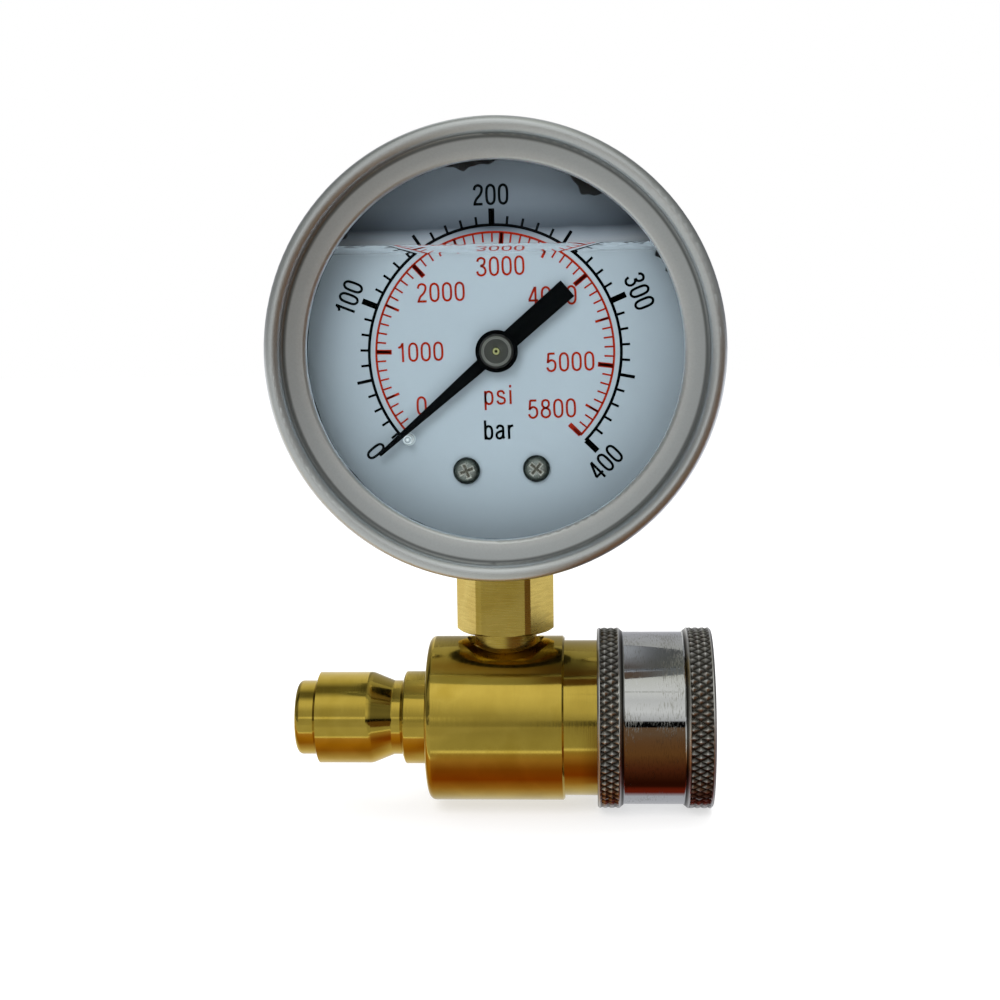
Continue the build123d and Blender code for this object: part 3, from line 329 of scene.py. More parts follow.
def dial_face():
    """Pale stoved enamel of the dial, with painted shade that darkens it above the fill and towards its
    rim.
    """
    material, tree, place = new_material("dial enamel")
    height = add(tree, "SeparateXYZ", [place]).outputs[2]
    cloud = add(tree, "TexNoise", {"Vector": place, "Scale": 0.09, "Detail": 2})
    wave = add(tree, "Math", [cloud, 1.6, height], operation="MULTIPLY_ADD")
    share = add(tree, "MapRange", {"Value": wave, "From Min": LEVEL_Z + 2.4, "From Max": LEVEL_Z + 16.4})
    # Painted shade above the fill level, darkest just over the meniscus; below the fill the enamel keeps
    # its pale colour
    above_fill_shade = add(
        tree,
        "ValToRGB",
        {"Fac": share},
        stops=[
            (0.0, "#AAB0BA"), (0.08, "#828A95"), (0.15, "#484F59"), (0.4, "#6A727C"), (0.8, "#7E8690"),
            (1.0, "#6E767E"),
        ],
    )
    # Painted shade that darkens the enamel from 12 mm out towards the rim
    middle = add(tree, "VectorMath", [place, (STEM_X, -DIAL_FRONT, GAUGE_Z)], operation="DISTANCE")
    rim = add(
        tree,
        "MapRange",
        {
            "Value": middle.outputs["Value"], "From Min": 12.0, "From Max": 29.0, "To Min": 1.0,
            "To Max": 0.82,
        },
        interpolation_type="SMOOTHSTEP",
    )
    colour = add(tree, "Mix", {0: 1.0, 6: above_fill_shade, 7: rim}, data_type="RGBA", blend_type="MULTIPLY")
    matt = add(tree, "MapRange", {"Value": cloud, "To Min": 0.45, "To Max": 0.6})
    shader = add(
        tree,
        "BsdfPrincipled",
        {"Base Color": colour.outputs[2], "Roughness": matt, "Specular IOR Level": 0.1},
    )
    return finish_material(material, shader)


dial_enamel = dial_face()


def window_pane():
    """Float glass, wet behind: it mirrors at its front face alone and lets the lamps through."""
    material, tree, place = new_material("float glass")
    facing = add(tree, "SeparateXYZ", [place]).outputs[1]
    front = add(tree, "Math", [facing, -(LENS_FRONT - 0.3)], operation="LESS_THAN")
    glint = add(tree, "Fresnel", {"IOR": 1.13})
    share = add(tree, "Math", [glint, front], operation="MULTIPLY")
    smear = add(tree, "TexNoise", {"Vector": place, "Scale": 0.25, "Detail": 4})
    matt = add(
        tree,
        "MapRange",
        {"Value": smear, "From Min": 0.5, "From Max": 0.75, "To Min": 0.0, "To Max": 0.12},
    )
    mirror = add(tree, "BsdfPrincipled", {"Base Color": "#FFFFFF", "Metallic": 1.0, "Roughness": matt})
    through = add(tree, "BsdfTransparent", {"Color": "#FAFCFC"})
    shader = add(tree, "MixShader", [share, through, mirror])
    return finish_material(material, shader)


def liquid_surface():
    """Free surface of glycerine: it bends the view, and mirrors the dial where it is steep."""
    material, tree, _ = new_material("glycerine surface")
    glass = add(
        tree,
        "BsdfPrincipled",
        {"Base Color": "#FDFEFE", "Roughness": 0.0, "IOR": 1.47, "Transmission Weight": 1.0},
    )
    passing = add(tree, "BsdfTransparent", {"Color": "#FDFEFE"})
    ray = add(tree, "LightPath")
    shader = add(tree, "MixShader", [ray.outputs["Is Shadow Ray"], glass, passing])
    return finish_material(material, shader)


def liquid_wall():
    """Glycerine where it wets glass, dial and case: nothing shows but a trace of tint."""
    material, tree, _ = new_material("glycerine at a wall")
    return finish_material(material, add(tree, "BsdfTransparent", {"Color": "#FBFDFD"}))


window_glass = window_pane()
free_surface = liquid_surface()
wetted_wall = liquid_wall()


# Piece making


def plain_mesh(obj):
    """The object's evaluated mesh, with its modifiers gone."""
    bpy.context.view_layer.update()
    graph = bpy.context.evaluated_depsgraph_get()
    mesh = bpy.data.meshes.new_from_object(obj.evaluated_get(graph), depsgraph=graph)
    obj.modifiers.clear()
    return mesh


def piece(name, mesh, materials, body, nodes=(), sharp=30):
    """Puts a mesh in the scene as a finished piece that rides on a body."""
    mesh.polygons.foreach_set("use_smooth", [True] * len(mesh.polygons))
    mesh.set_sharp_from_angle(angle=math.radians(sharp))
    given = materials if isinstance(materials, list) else [materials]
    worn = [min(polygon.material_index, len(given) - 1) for polygon in mesh.polygons]
    obj = placed(name, mesh)
    weigh = obj.modifiers.new("even shading", "WEIGHTED_NORMAL")
    weigh.keep_sharp = True
    obj.data = plain_mesh(obj)
    obj.data.name = name
    obj.data.materials.clear()
    for material in given:
        obj.data.materials.append(material)
    obj.data.polygons.foreach_set("material_index", worn)
    if body:
        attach(obj, body)
    if nodes:
        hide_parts(*nodes)
    return obj


def rounded(corners, steps=6):
    """Profile points (along, radius) through corners that each may carry a rounding radius."""
    line = []
    count = len(corners)
    for number, corner in enumerate(corners):
        here = Vector(corner[:2])
        radius = corner[2] if len(corner) > 2 else 0
        if not radius:
            line.append(here)
            continue
        before = (Vector(corners[number - 1][:2]) - here).normalized()
        after = (Vector(corners[(number + 1) % count][:2]) - here).normalized()
        half = before.angle(after) / 2
        centre = here + (before + after).normalized() * radius / math.sin(half)
        start = here + before * radius / math.tan(half) - centre
        end = here + after * radius / math.tan(half) - centre
        turn = start.angle_signed(end)
        for step in range(steps + 1):
            line.append(centre + Matrix.Rotation(-turn * step / steps, 2) @ start)
    return line


def turned_mesh(name, corners, place, segments=192, steps=6):
    """Closed mesh of a turned piece, from the profile of its wall."""
    line = rounded(corners, steps)
    area = sum(a.x * b.y - b.x * a.y for a, b in zip(line, line[1:] + line[:1]))
    if area < 0:
        line.reverse()
    mesh = bmesh.new()
    rings = []
    for point in line:
        if point.y < 1e-6:
            rings.append([mesh.verts.new(place @ Vector((0, 0, point.x)))] * segments)
            continue
        spots = [polar(math.tau * n / segments, point.y, point.x) for n in range(segments)]
        rings.append([mesh.verts.new(place @ spot) for spot in spots])
    for low, high in zip(rings, rings[1:] + rings[:1]):
        for turn in range(segments):
            after = (turn + 1) % segments
            face = []
            for vertex in (low[turn], high[turn], high[after], low[after]):
                if vertex not in face:
                    face.append(vertex)
            if len(face) > 2:
                mesh.faces.new(face)
    return finished_mesh(name, mesh)


def node_group(name, *labels, whole=()):
    """A Geometry Nodes tree with named inputs, its input sockets by name and their identifiers.

    The inputs are real numbers, but for those named as whole, and a material comes last.
    """
    tree = bpy.data.node_groups.new(name, "GeometryNodeTree")
    tree.interface.new_socket("Geometry", in_out="INPUT", socket_type="NodeSocketGeometry")
    tree.interface.new_socket("Geometry", in_out="OUTPUT", socket_type="NodeSocketGeometry")
    keys = {}
    for label in labels + ("Material",):
        kind = "Material" if label == "Material" else "Int" if label in whole else "Float"
        socket = tree.interface.new_socket(label, in_out="INPUT", socket_type="NodeSocket" + kind)
        keys[label] = socket.identifier
    given = {socket.name: socket for socket in tree.nodes.new("NodeGroupInput").outputs}
    return tree, given, keys


def close_group(tree, geometry, material):
    """Ends a tree in Realize Instances and Set Material."""
    real = add(tree, "GeometryNodeRealizeInstances", {"Geometry": geometry})
    dressed = add(tree, "GeometryNodeSetMaterial", {"Geometry": real, "Material": material})
    end = tree.nodes.new("NodeGroupOutput")
    tree.links.new(dressed.outputs[0], end.inputs[0])


def run_group(group, mesh, **values):
    """Runs a tree over a mesh and returns the plain mesh that it gives."""
    tree, keys = group
    obj = placed(tree.name, mesh)
    modifier = obj.modifiers.new(tree.name, "NODES")
    modifier.node_group = tree
    for label, value in values.items():
        modifier[keys[label.replace("_", " ")]] = value
    made = plain_mesh(obj)
    bpy.data.objects.remove(obj)
    return made


def joined(name, meshes):
    """One mesh from several."""
    whole = bmesh.new()
    for mesh in meshes:
        whole.from_mesh(mesh)
    made = bpy.data.meshes.new(name)
    whole.to_mesh(made)
    whole.free()
    return made


# Release sleeve


def knurl_group():
    """Diamond knurl pressed into the parts of a sleeve that stand at its grip radius."""
    tree, given, keys = node_group(
        "diamond knurl", "Grip radius", "Diamonds around", "Diamond length", "Depth", "Rear start",
        "Rear end", "Front start", "Front end", "Fade",
    )
    place = add(tree, "SeparateXYZ", [add(tree, "GeometryNodeInputPosition")])
    known = {**given, **dict(zip("xyz", place.outputs))}
    # Each row names a value, the operation that gives it and what the operation takes
    steps = [
        ("y squared", "POWER", "y", 2.0),
        ("z squared", "POWER", "z", 2.0),
        ("reach squared", "ADD", "y squared", "z squared"),
        ("reach", "SQRT", "reach squared"),
        ("angle", "ARCTAN2", "z", "y"),
        ("turn", "DIVIDE", "angle", math.tau),
        ("around", "MULTIPLY", "turn", "Diamonds around"),
        ("along", "DIVIDE", "x", "Diamond length"),
    ]
    for side in ("ADD", "SUBTRACT"):
        steps += [
            ("helix", side, "around", "along"),
            ("saw", "FRACT", "helix"),
            ("wave", "MULTIPLY_ADD", "saw", 2.0, -1.0),
            ("fall", "ABSOLUTE", "wave"),
            ("ridge " + side, "SUBTRACT", 1.0, "fall"),
        ]
    steps += [
        ("height", "MINIMUM", "ridge ADD", "ridge SUBTRACT"),
        ("raised", "MULTIPLY", "height", 1.25),
        ("flattened", "MINIMUM", "raised", 1.0),
        ("groove", "SUBTRACT", 1.0, "flattened"),
    ]
    for grip in ("Rear", "Front"):
        steps += [
            ("past start", "SUBTRACT", "x", grip + " start"),
            ("rise", "DIVIDE", "past start", "Fade"),
            ("before end", "SUBTRACT", grip + " end", "x"),
            ("fall", "DIVIDE", "before end", "Fade"),
            ("lower", "MINIMUM", "rise", "fall"),
            ("capped", "MINIMUM", "lower", 1.0),
            (grip, "MAXIMUM", "capped", 0.0),
        ]
    steps += [
        ("outside", "SUBTRACT", "Grip radius", 0.02 * MM),
        ("at grip", "GREATER_THAN", "reach", "outside"),
        ("grips", "ADD", "Rear", "Front"),
        ("mask", "MULTIPLY", "grips", "at grip"),
        ("pressed", "MULTIPLY", "groove", "mask"),
        ("sink", "MULTIPLY", "pressed", "Depth"),
        ("new reach", "SUBTRACT", "reach", "sink"),
        ("shrink", "DIVIDE", "new reach", "reach"),
        ("new y", "MULTIPLY", "y", "shrink"),
        ("new z", "MULTIPLY", "z", "shrink"),
    ]
    for result, operation, *terms in steps:
        known[result] = add(tree, "Math", [known.get(term, term) for term in terms], operation=operation)
    moved = add(tree, "CombineXYZ", [known["x"], known["new y"], known["new z"]])
    shaped = add(tree, "GeometryNodeSetPosition", {"Geometry": given["Geometry"], "Position": moved})
    close_group(tree, shaped, given["Material"])
    return tree, keys


SLEEVE_START = 40.8
SLEEVE_END = 59.1
REAR_GRIP = 3.7
FRONT_GRIP = 4.2
MIDDLE_RADIUS = 13.85
SLEEVE_BORE = 12.65
# The land that holds the balls in, the ramp that lets them out, and the mouth
LAND_START = 51.6
LAND_RADIUS = 10.08
RAMP_START = 53.617
RAMP_END = 57.4
MOUTH_RADIUS = 11.55


def along_grip(start, end):
    """Profile points along a grip, close enough to carry the knurl."""
    count = 30
    return [(start + (end - start) * step / count, GRIP_RADIUS) for step in range(count + 1)]


rear_end = SLEEVE_START + REAR_GRIP
front_start = SLEEVE_END - FRONT_GRIP
sleeve_profile = (
    [(SLEEVE_START, SLEEVE_BORE), (SLEEVE_START, GRIP_RADIUS - 0.3)]
    + along_grip(SLEEVE_START + 0.3, rear_end - 0.25)
    + [(rear_end, GRIP_RADIUS - 0.25), (rear_end + 0.5, MIDDLE_RADIUS, 0.3)]
    + [(front_start - 0.5, MIDDLE_RADIUS, 0.3), (front_start, GRIP_RADIUS - 0.25)]
    + along_grip(front_start + 0.25, SLEEVE_END - 0.3)
    + [
        (SLEEVE_END, GRIP_RADIUS - 0.3),
        (SLEEVE_END, MOUTH_RADIUS + 0.4),
        (SLEEVE_END - 0.4, MOUTH_RADIUS),
        (RAMP_END, MOUTH_RADIUS),
        (RAMP_START, LAND_RADIUS),
        (LAND_START, LAND_RADIUS),
        (LAND_START, SLEEVE_BORE),
    ]
)
knurl = knurl_group()
sleeve_mesh = run_group(
    knurl,
    turned_mesh("sleeve blank", sleeve_profile, FLOW, 600, 4),
    Grip_radius=GRIP_RADIUS * MM,
    Diamonds_around=70.0,
    Diamond_length=2.1 * MM,
    Depth=0.42 * MM,
    Rear_start=(SLEEVE_START + 0.45) * MM,
    Rear_end=(rear_end - 0.35) * MM,
    Front_start=(front_start + 0.35) * MM,
    Front_end=(SLEEVE_END - 0.45) * MM,
    Fade=0.1 * MM,
    Material=plated_sleeve,
)
piece("sleeve", sleeve_mesh, plated_sleeve, "sleeve", ["release_sleeve"], 22)


# Springs and tube


def coil_group():
    """Round wire wound to a coil along the flow axis."""
    tree, given, keys = node_group("wound coil", "Turns", "Radius", "Length", "Start", "Wire radius")
    path = add(
        tree,
        "GeometryNodeCurveSpiral",
        {
            "Resolution": 64,
            "Rotations": given["Turns"],
            "Start Radius": given["Radius"],
            "End Radius": given["Radius"],
            "Height": given["Length"],
        },
    )
    offset = add(tree, "CombineXYZ", [given["Start"]])
    laid = add(
        tree,
        "GeometryNodeTransform",
        {"Geometry": path, "Translation": offset, "Rotation": (0, math.pi / 2, 0)},
    )
    section = add(
        tree, "GeometryNodeCurvePrimitiveCircle", {"Resolution": 16, "Radius": given["Wire radius"]},
    )
    wire = add(
        tree,
        "GeometryNodeCurveToMesh",
        {"Curve": laid, "Profile Curve": section, "Fill Caps": True},
    )
    close_group(tree, wire, given["Material"])
    return tree, keys


coil = coil_group()
spring_mesh = run_group(
    coil,
    bpy.data.meshes.new("spring blank"),
    Turns=4.5,
    Radius=11.325 * MM,
    Length=7.8 * MM,
    Start=43.05 * MM,
    Wire_radius=0.5 * MM,
    Material=ground_steel,
)
spring = piece("coil_spring", spring_mesh, ground_steel, "gauge", ["sleeve_spring"])
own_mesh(spring)

tube_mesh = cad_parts["bourdon_tube"].data.copy()
cleaned = bmesh.new()
cleaned.from_mesh(tube_mesh)
bmesh.ops.remove_doubles(cleaned, verts=cleaned.verts, dist=1e-7)
cleaned.to_mesh(tube_mesh)
cleaned.free()
tube = piece("pressure_tube", tube_mesh, drawn_bronze, None, ["bourdon_tube"])
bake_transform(tube)


# Dial print


def tick_group():
    """A row of scale ticks on an arc, each a thin printed bar."""
    tree, given, keys = node_group(
        "scale ticks", "Count", "First angle", "Step angle", "Inner radius", "Outer radius", "Width",
        whole=["Count"],
    )
    known = {**given, "index": add(tree, "GeometryNodeInputIndex")}
    for result, operation, *terms in (
        ("angle", "MULTIPLY_ADD", "index", "Step angle", "First angle"),
        ("length", "SUBTRACT", "Outer radius", "Inner radius"),
        ("both", "ADD", "Inner radius", "Outer radius"),
        ("middle", "MULTIPLY", "both", 0.5),
        ("cosine", "COSINE", "angle"),
        ("sine", "SINE", "angle"),
        ("x", "MULTIPLY", "cosine", "middle"),
        ("y", "MULTIPLY", "sine", "middle"),
    ):
        known[result] = add(tree, "Math", [known.get(term, term) for term in terms], operation=operation)
    spot = add(tree, "CombineXYZ", [known["x"], known["y"]])
    row = add(tree, "GeometryNodeMeshLine", {"Count": given["Count"]})
    spread = add(tree, "GeometryNodeSetPosition", {"Geometry": row, "Position": spot})
    bar = add(
        tree,
        "GeometryNodeMeshGrid",
        {"Size X": known["length"], "Size Y": given["Width"], "Vertices X": 2, "Vertices Y": 2},
    )
    spin = add(tree, "CombineXYZ", {2: known["angle"]})
    laid = add(
        tree,
        "GeometryNodeInstanceOnPoints",
        {"Points": spread, "Instance": bar, "Rotation": spin},
    )
    close_group(tree, laid, given["Material"])
    return tree, keys


def arc_mesh(inner, outer, start, end):
    """Flat printed arc between two angles in degrees."""
    steps = 240
    mesh = bpy.data.meshes.new("arc")
    points = []
    for step in range(steps + 1):
        turn = math.radians(start + (end - start) * step / steps)
        points += [polar(turn, inner * MM), polar(turn, outer * MM)]
    faces = [(2 * n + 1, 2 * n, 2 * n + 2, 2 * n + 3) for n in range(steps)]
    mesh.from_pydata(points, [], faces)
    return mesh


# Strokes of the dial's narrow numerals and letters, in hundredths of the cap height. A stroke that
# starts with "curve" or "loop" runs smoothly through its points, and one with "line" goes straight.
BOWL = ("loop", (22, 69), (34, 60), (37, 36), (34, 13), (22, 4), (10, 14), (7, 36), (10, 60))
NUMERALS = {
    "0": [("loop", (22, 95), (36, 83), (39, 50), (36, 17), (22, 5), (8, 17), (5, 50), (8, 83))],
    "1": [("line", (27, 100), (27, 0)), ("curve", (8, 75), (19, 80), (25, 93))],
    "2": [
        ("curve", (6, 72), (10, 88), (22, 95), (35, 88), (38, 72), (31, 50), (15, 29), (7, 6)),
        ("line", (2, 5), (41, 5)),
    ],
    "3": [
        ("curve", (6, 76), (10, 89), (22, 95), (34, 88), (36, 74), (31, 60), (18, 54)),
        ("curve", (18, 54), (33, 46), (39, 28), (34, 12), (21, 5), (9, 11), (4, 27)),
    ],
    "4": [("line", (31, 0), (31, 100)), ("line", (29, 97), (4, 30)), ("line", (1, 29), (42, 29))],
    "5": [
        ("line", (37, 95), (10, 95)),
        ("line", (11, 97), (7, 46)),
        ("curve", (7, 50), (21, 61), (35, 53), (39, 33), (34, 13), (21, 5), (9, 11), (4, 25)),
    ],
    "8": [
        ("loop", (22, 95), (34, 88), (35, 66), (22, 54), (9, 66), (10, 88)),
        ("loop", (22, 54), (37, 42), (38, 17), (22, 5), (6, 17), (7, 42)),
    ],
    "b": [("line", (7, 0), (7, 100)), BOWL],
    "a": [
        ("curve", (6, 55), (11, 66), (21, 70), (32, 64), (34, 50), (34, 14), (39, 4)),
        ("curve", (34, 44), (18, 39), (6, 30), (5, 14), (15, 4), (28, 10), (34, 24)),
    ],
    "r": [("line", (7, 0), (7, 73)), ("curve", (7, 48), (13, 64), (27, 69))],
    "p": [("line", (7, -27), (7, 73)), BOWL],
    "s": [(
        "curve", (34, 53), (29, 66), (19, 70), (8, 63), (9, 46), (21, 38), (34, 29), (34, 11), (21, 4),
        (9, 8), (4, 21),
    )],
    "i": [("line", (7, 0), (7, 73)), ("line", (7, 86), (7, 100))],
}
ADVANCE = {"i": 0.19, "r": 0.32, "1": 0.49}


def smooth_path(points, closed):
    """Points of a smooth curve that runs through the given ones."""
    count = len(points)
    path = []
    for n in range(count if closed else count - 1):
        if closed:
            a, b, c, d = (points[(n + k) % count] for k in (-1, 0, 1, 2))
        else:
            a, b, c, d = (points[min(max(n + k, 0), count - 1)] for k in (-1, 0, 1, 2))
        for step in range(6):
            t = step / 6
            curve = (2 * a - 5 * b + 4 * c - d) * t**2 + (3 * b - a - 3 * c + d) * t**3
            path.append(0.5 * (2 * b + (c - a) * t + curve))
    if not closed:
        path.append(points[-1])
    return path


def word_mesh(words, height, spread, stroke, spot, turn=0.0):
    """Words printed with an even stroke, centred on a spot and turned."""
    verts, faces = [], []
    start = 0.0
    for letter in words:
        for kind, *points in NUMERALS[letter]:
            points = [Vector(((start + x / 100) * spread * height, y / 100 * height)) for x, y in points]
            closed = kind == "loop"
            path = points if kind == "line" else smooth_path(points, closed)
            first = len(verts)
            for n, point in enumerate(path):
                before = path[n - 1] if n or closed else point
                after = path[(n + 1) % len(path)] if n + 1 < len(path) or closed else point
                way = (after - before).normalized()
                side = Vector((-way.y, way.x)) * stroke / 2
                verts += [point + side, point - side]
            for n in range(len(path) if closed else len(path) - 1):
                m = (n + 1) % len(path)
                faces.append([first + 2 * n, first + 2 * n + 1, first + 2 * m + 1, first + 2 * m])
        start += ADVANCE.get(letter, 0.53)
    xs = [v.x for v in verts]
    middle = Vector(((max(xs) + min(xs)) / 2, height / 2))
    mesh = bpy.data.meshes.new(words)
    mesh.from_pydata([((v - middle) * MM).to_3d() for v in verts], [], faces)
    mesh.transform(
        Matrix.Translation((spot[0] * MM, spot[1] * MM, 0)) @ Matrix.Rotation(math.radians(turn), 4, "Z")
    )
    return mesh


ticks = tick_group()
empty = bpy.data.meshes.new("tick blank")


def tick_row(material, count, first, step, inner, outer, width):
    return run_group(
        ticks,
        empty,
        Count=count,
        First_angle=math.radians(first),
        Step_angle=math.radians(step),
        Inner_radius=inner * MM,
        Outer_radius=outer * MM,
        Width=width * MM,
        Material=material,
    )


# Bar scale: 0 to 400 over 270 degrees, read clockwise from 225 degrees
BAR_STEP = -6.75
bar_rings = [
    arc_mesh(19.2, 19.65, 219.5, -45.4),
    tick_row(black_ink, 39, 225 + BAR_STEP, BAR_STEP, 19.5, 20.8, 0.38),
    tick_row(black_ink, 8, 225 + 5 * BAR_STEP, 5 * BAR_STEP, 19.5, 21.85, 0.5),
    tick_row(black_ink, 4, 225 + 10 * BAR_STEP, 10 * BAR_STEP, 19.5, 21.9, 0.92),
]
BAR_FIGURE_REACH = 24.0
BAR_FIGURE = {"height": 3.15, "spread": 1.15, "stroke": 0.4}
for words, angle, turn in (
    ("100", 158.0, -90), ("200", 90.1, -90), ("300", 21.5, -90), ("400", -46.0, 90), ("0", 218.1, 90),
):
    spot = polar(math.radians(angle), BAR_FIGURE_REACH)
    bar_rings.append(word_mesh(words, **BAR_FIGURE, spot=spot, turn=angle + turn))
bar_words = [word_mesh("bar", 2.95, 1.15, 0.38, (-0.2, -11.9))]

# Pounds per square inch, 0 to 5800, printed inward of the bar scale
PSI_STEP = -270 / 58
psi_rings = [
    arc_mesh(18.15, 18.5, 219.5, -45.2),
    tick_row(red_ink, 57, 225 + 2 * PSI_STEP, PSI_STEP, 16.85, 18.3, 0.28),
    tick_row(red_ink, 11, 225 + 5 * PSI_STEP, 5 * PSI_STEP, 16.1, 18.3, 0.4),
    tick_row(red_ink, 5, 225 + 10 * PSI_STEP, 10 * PSI_STEP, 15.93, 18.3, 0.75),
    tick_row(red_ink, 1, -45, 0, 15.93, 18.3, 0.75),
]
psi_words = []
for words, spot in (
    ("0", (-11.84, -7.88)),
    ("1000", (-11.64, 0.31)),
    ("2000", (-8.20, 9.20)),
    ("3000", (0.93, 12.75)),
    ("4000", (8.62, 8.01)),
    ("5000", (10.99, -2.00)),
    ("5800", (7.98, -8.98)),
    ("psi", (-0.16, -6.63)),
):
    psi_words.append(word_mesh(words, 2.91, 1.24, 0.34, spot))

LAID_PRINT = DIAL @ Matrix.Translation((0, 0, DIAL_FRONT + 0.015)) @ Matrix.Scale(1 / MM, 4)
for name, rings, words, ink in (
    ("bar_scale", bar_rings, bar_words, black_ink), ("psi_scale", psi_rings, psi_words, red_ink),
):
    scales = joined(name, rings)
    scales.transform(Matrix.Scale(MM, 4) @ PRINT @ Matrix.Scale(1 / MM, 4))
    mesh = joined(name, [scales] + words)
    mesh.transform(Matrix.Scale(MM, 4) @ LAID_PRINT)
    piece(name, mesh, ink, "gauge", ())


# Fill


def fill_mesh():
    """Glycerine between the dial and the window, with its surface drawn up along the glass."""
    radius = 30.0
    around, across, steps = 160, 80, 40
    back = DIAL_FRONT + 0.04
    front = LENS_BACK - 0.02
    profile = []
    level = LEVEL_Z - GAUGE_Z
    bend = math.radians(MENISCUS_TURN)
    curve = (front - back) / math.sin(bend)
    for step in range(steps, -1, -1):
        slope = bend * step / steps
        profile.append((back + curve * math.sin(slope), level + curve * (1 - math.cos(slope))))
    mesh = bmesh.new()
    rows = []
    for forward, height in profile:
        start = math.pi - math.asin(height / radius)
        sweep = math.pi + 2 * math.asin(height / radius)
        spots = [polar(start + sweep * n / around, radius, forward) for n in range(around + 1)]
        rim = [mesh.verts.new(spot) for spot in spots]
        width = rim[0].co.x
        top = [mesh.verts.new((-width + 2 * width * n / across, height, forward)) for n in range(1, across)]
        rows.append(rim + top)
    for low, high in zip(rows, rows[1:]):
        for n in range(len(low)):
            m = (n + 1) % len(low)
            face = mesh.faces.new((low[n], low[m], high[m], high[n]))
            face.material_index = 0 if n >= around else 1
    for wall in (list(reversed(rows[0])), rows[-1]):
        mesh.faces.new(wall).material_index = 1
    bmesh.ops.recalc_face_normals(mesh, faces=mesh.faces)
    return finished_mesh("fill", mesh, GAUGE)


piece("glycerine_fill", fill_mesh(), [free_surface, wetted_wall], "gauge", (), 30)


# Pointer and screws


def pointer_mesh():
    """Stamped pointer with rolled edges, lying at its rest angle."""
    outline = [
        (23.8, 0.3), (0, 1.05), (0, 1.45), (-14.2, 1.55),
        (-14.2, -1.55), (0, -1.45), (0, -1.05), (23.8, -0.3),
    ]
    back, hub_radius = 14.25, 3.2
    mesh = bmesh.new()
    blade = [mesh.verts.new((x, y, back)) for x, y in outline]
    hub = [mesh.verts.new(polar(math.tau * n / 64, hub_radius, back + 0.01)) for n in range(64)]
    for ring, height in ((blade, 0.5), (hub, 0.52)):
        base = mesh.faces.new(ring)
        grown = bmesh.ops.extrude_face_region(mesh, geom=[base])
        lifted = [v for v in grown["geom"] if isinstance(v, bmesh.types.BMVert)]
        bmesh.ops.translate(mesh, verts=lifted, vec=(0, 0, height))
    bmesh.ops.recalc_face_normals(mesh, faces=mesh.faces)
    place = DIAL @ Matrix.Rotation(math.radians(219.3), 4, "Z")
    obj = placed("pointer blank", finished_mesh("pointer blank", mesh, place))
    edge = obj.modifiers.new("rolled edge", "BEVEL")
    edge.width = 0.07 * MM
    edge.segments = 3
    edge.limit_method = "ANGLE"
    edge.angle_limit = math.radians(50)
    made = plain_mesh(obj)
    bpy.data.objects.remove(obj)
    return made


